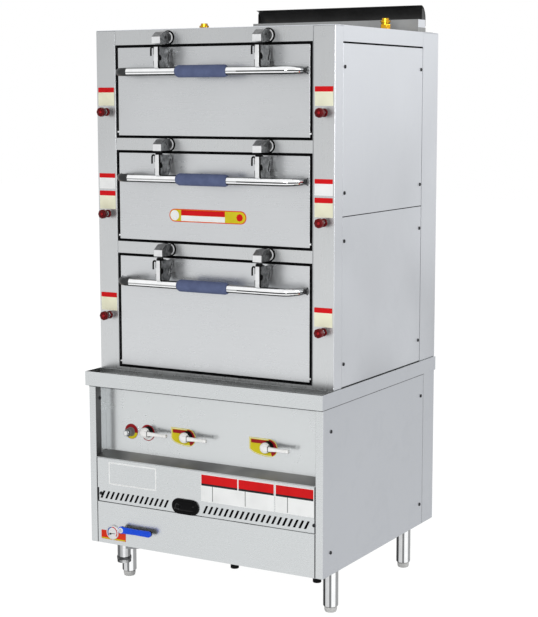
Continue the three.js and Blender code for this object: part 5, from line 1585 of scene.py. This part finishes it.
def make_tap_plates():
    """Coloured plates behind the taps and the igniter, bare."""
    def ring(name, x, z, radius, finish, front, thick):
        piece = turned(name, [(9, 0), (radius - 0.4, 0), (radius, 0.2), (radius, thick), (9, thick),
                              (9, 0)], (x, front, z),
                       (0, -1, 0), 48)
        return fitted(piece, "cabinet", "tap_enamel", finish)

    def half(name, x, z, radius, first, last, front, finish):
        piece = pressed(name, arc(x, z, radius, first, last, 28), "y", front, 0.3)
        return fitted(piece, "cabinet", "tap_enamel", finish)

    ring("tap_plate_left", -252, 551, 28, PLATE_DARK_RED, -15.1, 0.5)
    half("tap_plate_left_low", -252, 551, 25, 176, 364, -15.95, PLATE_WHITE)
    ring("igniter_plate", -320, 549, 26.5, PLATE_DARK_RED, -15.1, 0.5)
    half("igniter_plate_low", -320, 549, 25.4, 188, 352, -15.95, PLATE_YELLOW)
    for name, x, right in (("middle", -157, -59), ("right", 150, 257)):
        hub, r = right - 30, 30

        def shape(cut):
            """The plate's outline set in by cut: square above on the left, swept round below."""
            edge = x + cut
            sweep = [(edge + (hub - edge) * (1 - math.cos(a)), 546 - (25 - cut) * math.sin(a))
                     for a in (math.pi / 2 * i / 12 for i in range(13))]
            return sweep + arc(hub, 551, r - cut, -88, 88, 24) + [(edge, 581 - cut)]

        for key, cut, front, finish in (("edge", 0.0, -15.4, PLATE_YELLOW),
                                        ("line", 2.0, -15.7, PLATE_WHITE),
                                        ("field", 3.6, -16.0, PLATE_YELLOW)):
            layer = pressed(f"tap_plate_{key}_{name}", shape(cut), "y", front, 0.3)
            fitted(layer, "cabinet", "tap_enamel", finish)
        red = pressed(f"tap_plate_red_{name}", arc(hub, 551, 28, -70, 96, 30) + [(hub - 4, 566),
            (hub, 551)], "y", -16.3, 0.3)
        fitted(red, "cabinet", "tap_enamel", PLATE_DARK_RED)
        band = pressed(f"tap_plate_band_{name}", [(x + 8, 563), (hub - 6, 563), (hub - 6, 575),
                                                  (x + 8, 575)], "y", -16.3, 0.3)
        fitted(band, "cabinet", "tap_enamel", PLATE_DARK_RED)


def make_drain_plate():
    """The thermometer dial with its bare plate, beside the drain lever."""
    plate("drain_card", "cabinet", -72.1, (-412, 172), (-310, 203), PLATE_ORANGE, radius=2)
    plate("drain_card_foot", "cabinet", -72.8, (-410, 173), (-312, 177.5), PLATE_YELLOW, radius=1,
          thick=0.4)
    bezel = turned("dial_bezel", [(0, 0), (24, 0), (24.6, 1), (24.6, 6.4), (23.4, 7.6), (22, 7.2),
                                  (21.6, 5.6), (0, 5.6)],
                   (-361.5, -72.1, 200), (0, -1, 0), 48)
    fitted(bezel, "cabinet", "polished_steel", LATCH_BRIGHT)
    face = turned("dial_face", [(0, 0), (21.4, 0), (21.4, 0.4), (0, 0.4)], (-361.5, -77.7, 200), (0, -1, 0),
                  48)
    fitted(face, "cabinet", "tap_enamel", PLATE_WHITE)
    for name, start, end, finish in (("hot", -40, 95, PLATE_RED), ("cold", 100, 220, PLATE_BLUE)):
        band = pressed(f"dial_band_{name}", arc(-361.5, 200, 20.4, start, end, 20) + arc(-361.5, 200, 17,
            end, start, 20), "y",
                       -78.4, 0.25)
        fitted(band, "cabinet", "tap_enamel", finish)
    needle = pressed("dial_needle", [(-370, 193.6), (-350, 196.4), (-350, 197.6), (-370, 196)], "y", -78.9,
                     0.35)
    fitted(needle, "cabinet", "tap_enamel", PLATE_BLACK)
    hub = turned("dial_hub", [(0, 0), (3.4, 0), (3.4, 1.2), (0, 1.6)], (-370, -78.8, 194.6), (0, -1, 0), 20)
    fitted(hub, "cabinet", "black_steel", PLATE_BLACK)


def make_vent_sheet():
    """The vent panel with its leaning slots cut clean and burr-free."""
    sheet = copy_of(bpy.data.objects["vent_panel"], "vent_sheet")
    open_up(sheet)
    select_all()
    bpy.ops.mesh.remove_doubles(threshold=0.00002)
    close_up()
    cutters = []
    for first, last, count in ((-413.5, -132.05, 14), (4, 406.35, 20)):
        for index in range(count):
            x = first + index * (last - 19.5 - first) / (count - 1) - 1.1
            cutters.append(pressed(f"slot_{len(cutters)}", [(x, 315.4), (x + 8.7, 315.4), (x + 22.3, 342.6),
                (x + 13.6, 342.6)],
                                   "y", -74, 5))
    cutter = joined("slot_cutter", cutters)
    cut_away(sheet, cutter)
    softened(sheet, 0.25, 1, smooth=30)
    # painted shade: the slots' cut walls in near black
    painted(sheet, 1, lambda c, n: abs(n.y) < 0.5 and 314 < c[2] < 344 and abs(c[0]) < 420)
    fitted(sheet, "cabinet", "cabinet_steel", BASE_STEEL, INSIDE_SHADE, replaces=("vent_panel",))


def make_vent_details():
    """The vent panel's upper cover, the black baffle behind its slots as painted shade inside, and the dark
    and pale joint strips.
    """
    cover = block("vent_cover", (-424.5, UPPER_FRONT, 353), (424.5, -LOWER_FACE, 456.6))
    softened(cover, 0.5, 2, smooth=30)
    fitted(cover, "cabinet", "cabinet_steel", BASE_STEEL)
    # A near-black sheet behind the slots, as painted shade inside the base.
    shade_baffle = block("slot_baffle", (-425, -64, 308), (425, -62.6, 352))
    pick_faces(shade_baffle, lambda c, n: n.z > 0.9)
    extrude_by((0, 0, 0.004))
    bpy.ops.transform.translate(value=(0, -0.004, 0))
    close_up()
    cut = stadium(-64, 329, 99, 46)
    opening = pressed("baffle_opening", cut, "y", -70, 12)
    cut_away(shade_baffle, opening)
    fitted(shade_baffle, "cabinet", "black_steel", INSIDE_SHADE)
    for name, low, high in (("vent_edge_strip", (-427.6, -72.6, 306), (-419.5, -LOWER_FACE, 352)),
                            ("vent_joint_left", (-427.9, -73.0, 353), (-424.7, -LOWER_FACE, 457)),
                            ("vent_joint_right", (424.7, -73.0, 304), (428.1, -LOWER_FACE, 457)),
                            ("kick_joint_left", (-427.9, -72.6, 158), (-425.4, -LOWER_FACE, 302)),
                            ("kick_joint_right", (424.8, -72.6, 158), (428.1, -LOWER_FACE, 302)),
                            ("stile_joint_right", (375.95, -0.3, 758.6), (378.2, -0.06, 1908.4)),
                            ("stile_joint_left", (-378.2, -0.3, 758.6), (-375.95, -0.06, 1908.4)),
                            ("rear_fold_right", (455.05, 696, 158.5), (455.5, 697.6, 704)),
                            ("rear_fold_left", (-455.5, 696, 158.5), (-455.05, 697.6, 704)),
                            ("deck_joint_right", (455.05, -71, 705.2), (455.7, 700, 708.4)),
                            ("deck_joint_left", (-455.7, -71, 705.2), (-455.05, 700, 708.4)),
                            ("post_joint_right", (428.2, -72.6, 703.6), (454.6, -LOWER_FACE, 706.2)),
                            ("post_joint_left", (-454.6, -72.6, 703.6), (-428.2, -LOWER_FACE, 706.2)),
                            ("panel_joint_top", (-427, -15.7, 690.4), (427, -15.05, 693.2))):
        strip = block(name, low, high)
        rounded(strip, 0.1, 1)
        fitted(strip, "cabinet", "black_steel", JOINT_PALE if name.startswith(("rear", "stile"))
               else JOINT_GREY
               if name.startswith(("deck", "post", "panel")) else JOINT_DARK)


def make_buffers():
    """Two rubber buffers under the front edge."""
    buffer = turned("front_buffer_1", [(0, 0), (12.6, 0), (14, 1.2), (14, 16.6), (0, 16.6)],
                    (115, -52, 140), (0, 0, 1), 32)
    twin = copy_of(buffer, "front_buffer_2", (309, 0, 0))
    for piece in (buffer, twin):
        fitted(piece, "cabinet", "gasket_rubber", BLACK_RUBBER_AND_SHADE)


def make_drain_outlet():
    """A collar and a thread on the drain's outlet, and the bracket beside it."""
    collar = turned("outlet_collar", [(20, 0), (24.6, 0), (25, 0.6), (25, 9.4), (24.6, 10), (20, 10),
                                      (20, 0)],
                    (-336, -46, 104), (0, 0, 1), 40)
    fitted(collar, "cabinet", "pipe_iron", LATCH_DARK_AND_SHADE)
    rings = []
    for index in range(4):
        rings.append(turned(f"outlet_thread_{index + 1}", [(22.6, 0), (23.8, 0.5), (23.8, 1.1), (22.6, 1.6),
            (22.6, 0)],
                            (-336, -46, 94.2 + index * 2.3), (0, 0, 1), 40))
    for piece in rings:
        fitted(piece, "cabinet", "pipe_iron", PIPE_STEEL)
    bracket = pressed("outlet_bracket", [(-320, 156.6), (-258, 156.6), (-262, 152), (-300, 145),
                                         (-320, 144)], "y", -60, 30)
    softened(bracket, 1.2, 2, smooth=30)
    fitted(bracket, "cabinet", "cabinet_steel", HIDDEN_STEEL)


def make_panel_screws():
    """Every visible screw of the covers."""
    for side, x in (("right", BODY_HALF), ("left", -BODY_HALF)):
        screwed(side, f"cover_screw_{side}", "cabinet",
                [(x, y, z) for z in (1782, 1386, 1233, 836) for y in (66, 645)])
        screwed(side, f"base_screw_{side}", "cabinet",
                [(x, y, z) for z in (630.5, 232.7) for y in (-18, 675)])
    screwed("right", "recess_screw", "cabinet", [(-428, -48, 661)])
    screwed("front", "vent_screw", "cabinet", [(-411, -72, 332), (423, -72, 331.6)])
    screwed("back", "back_screw", "cabinet",
            [(x, 787, z) for x in (-395, 0, 395) for z in (790, 1320, 1350, 1880)])


for chamber_name, (sill, lintel, _) in CHAMBERS.items():
    make_door(chamber_name, sill, lintel)
make_handles()
make_catches()
make_knobs()
make_taps()
make_control_panel()
make_igniter()
make_drain()
make_relief_vents()
make_legs()
make_sight_window()
make_racks()
make_stile_plates()
make_door_plate()
make_base_plates()
make_tap_plates()
make_drain_plate()
make_vent_sheet()
make_vent_details()
make_buffers()
make_drain_outlet()
make_panel_screws()
dress_solids()

for spare in SCREWS.values():
    bpy.data.objects.remove(spare)
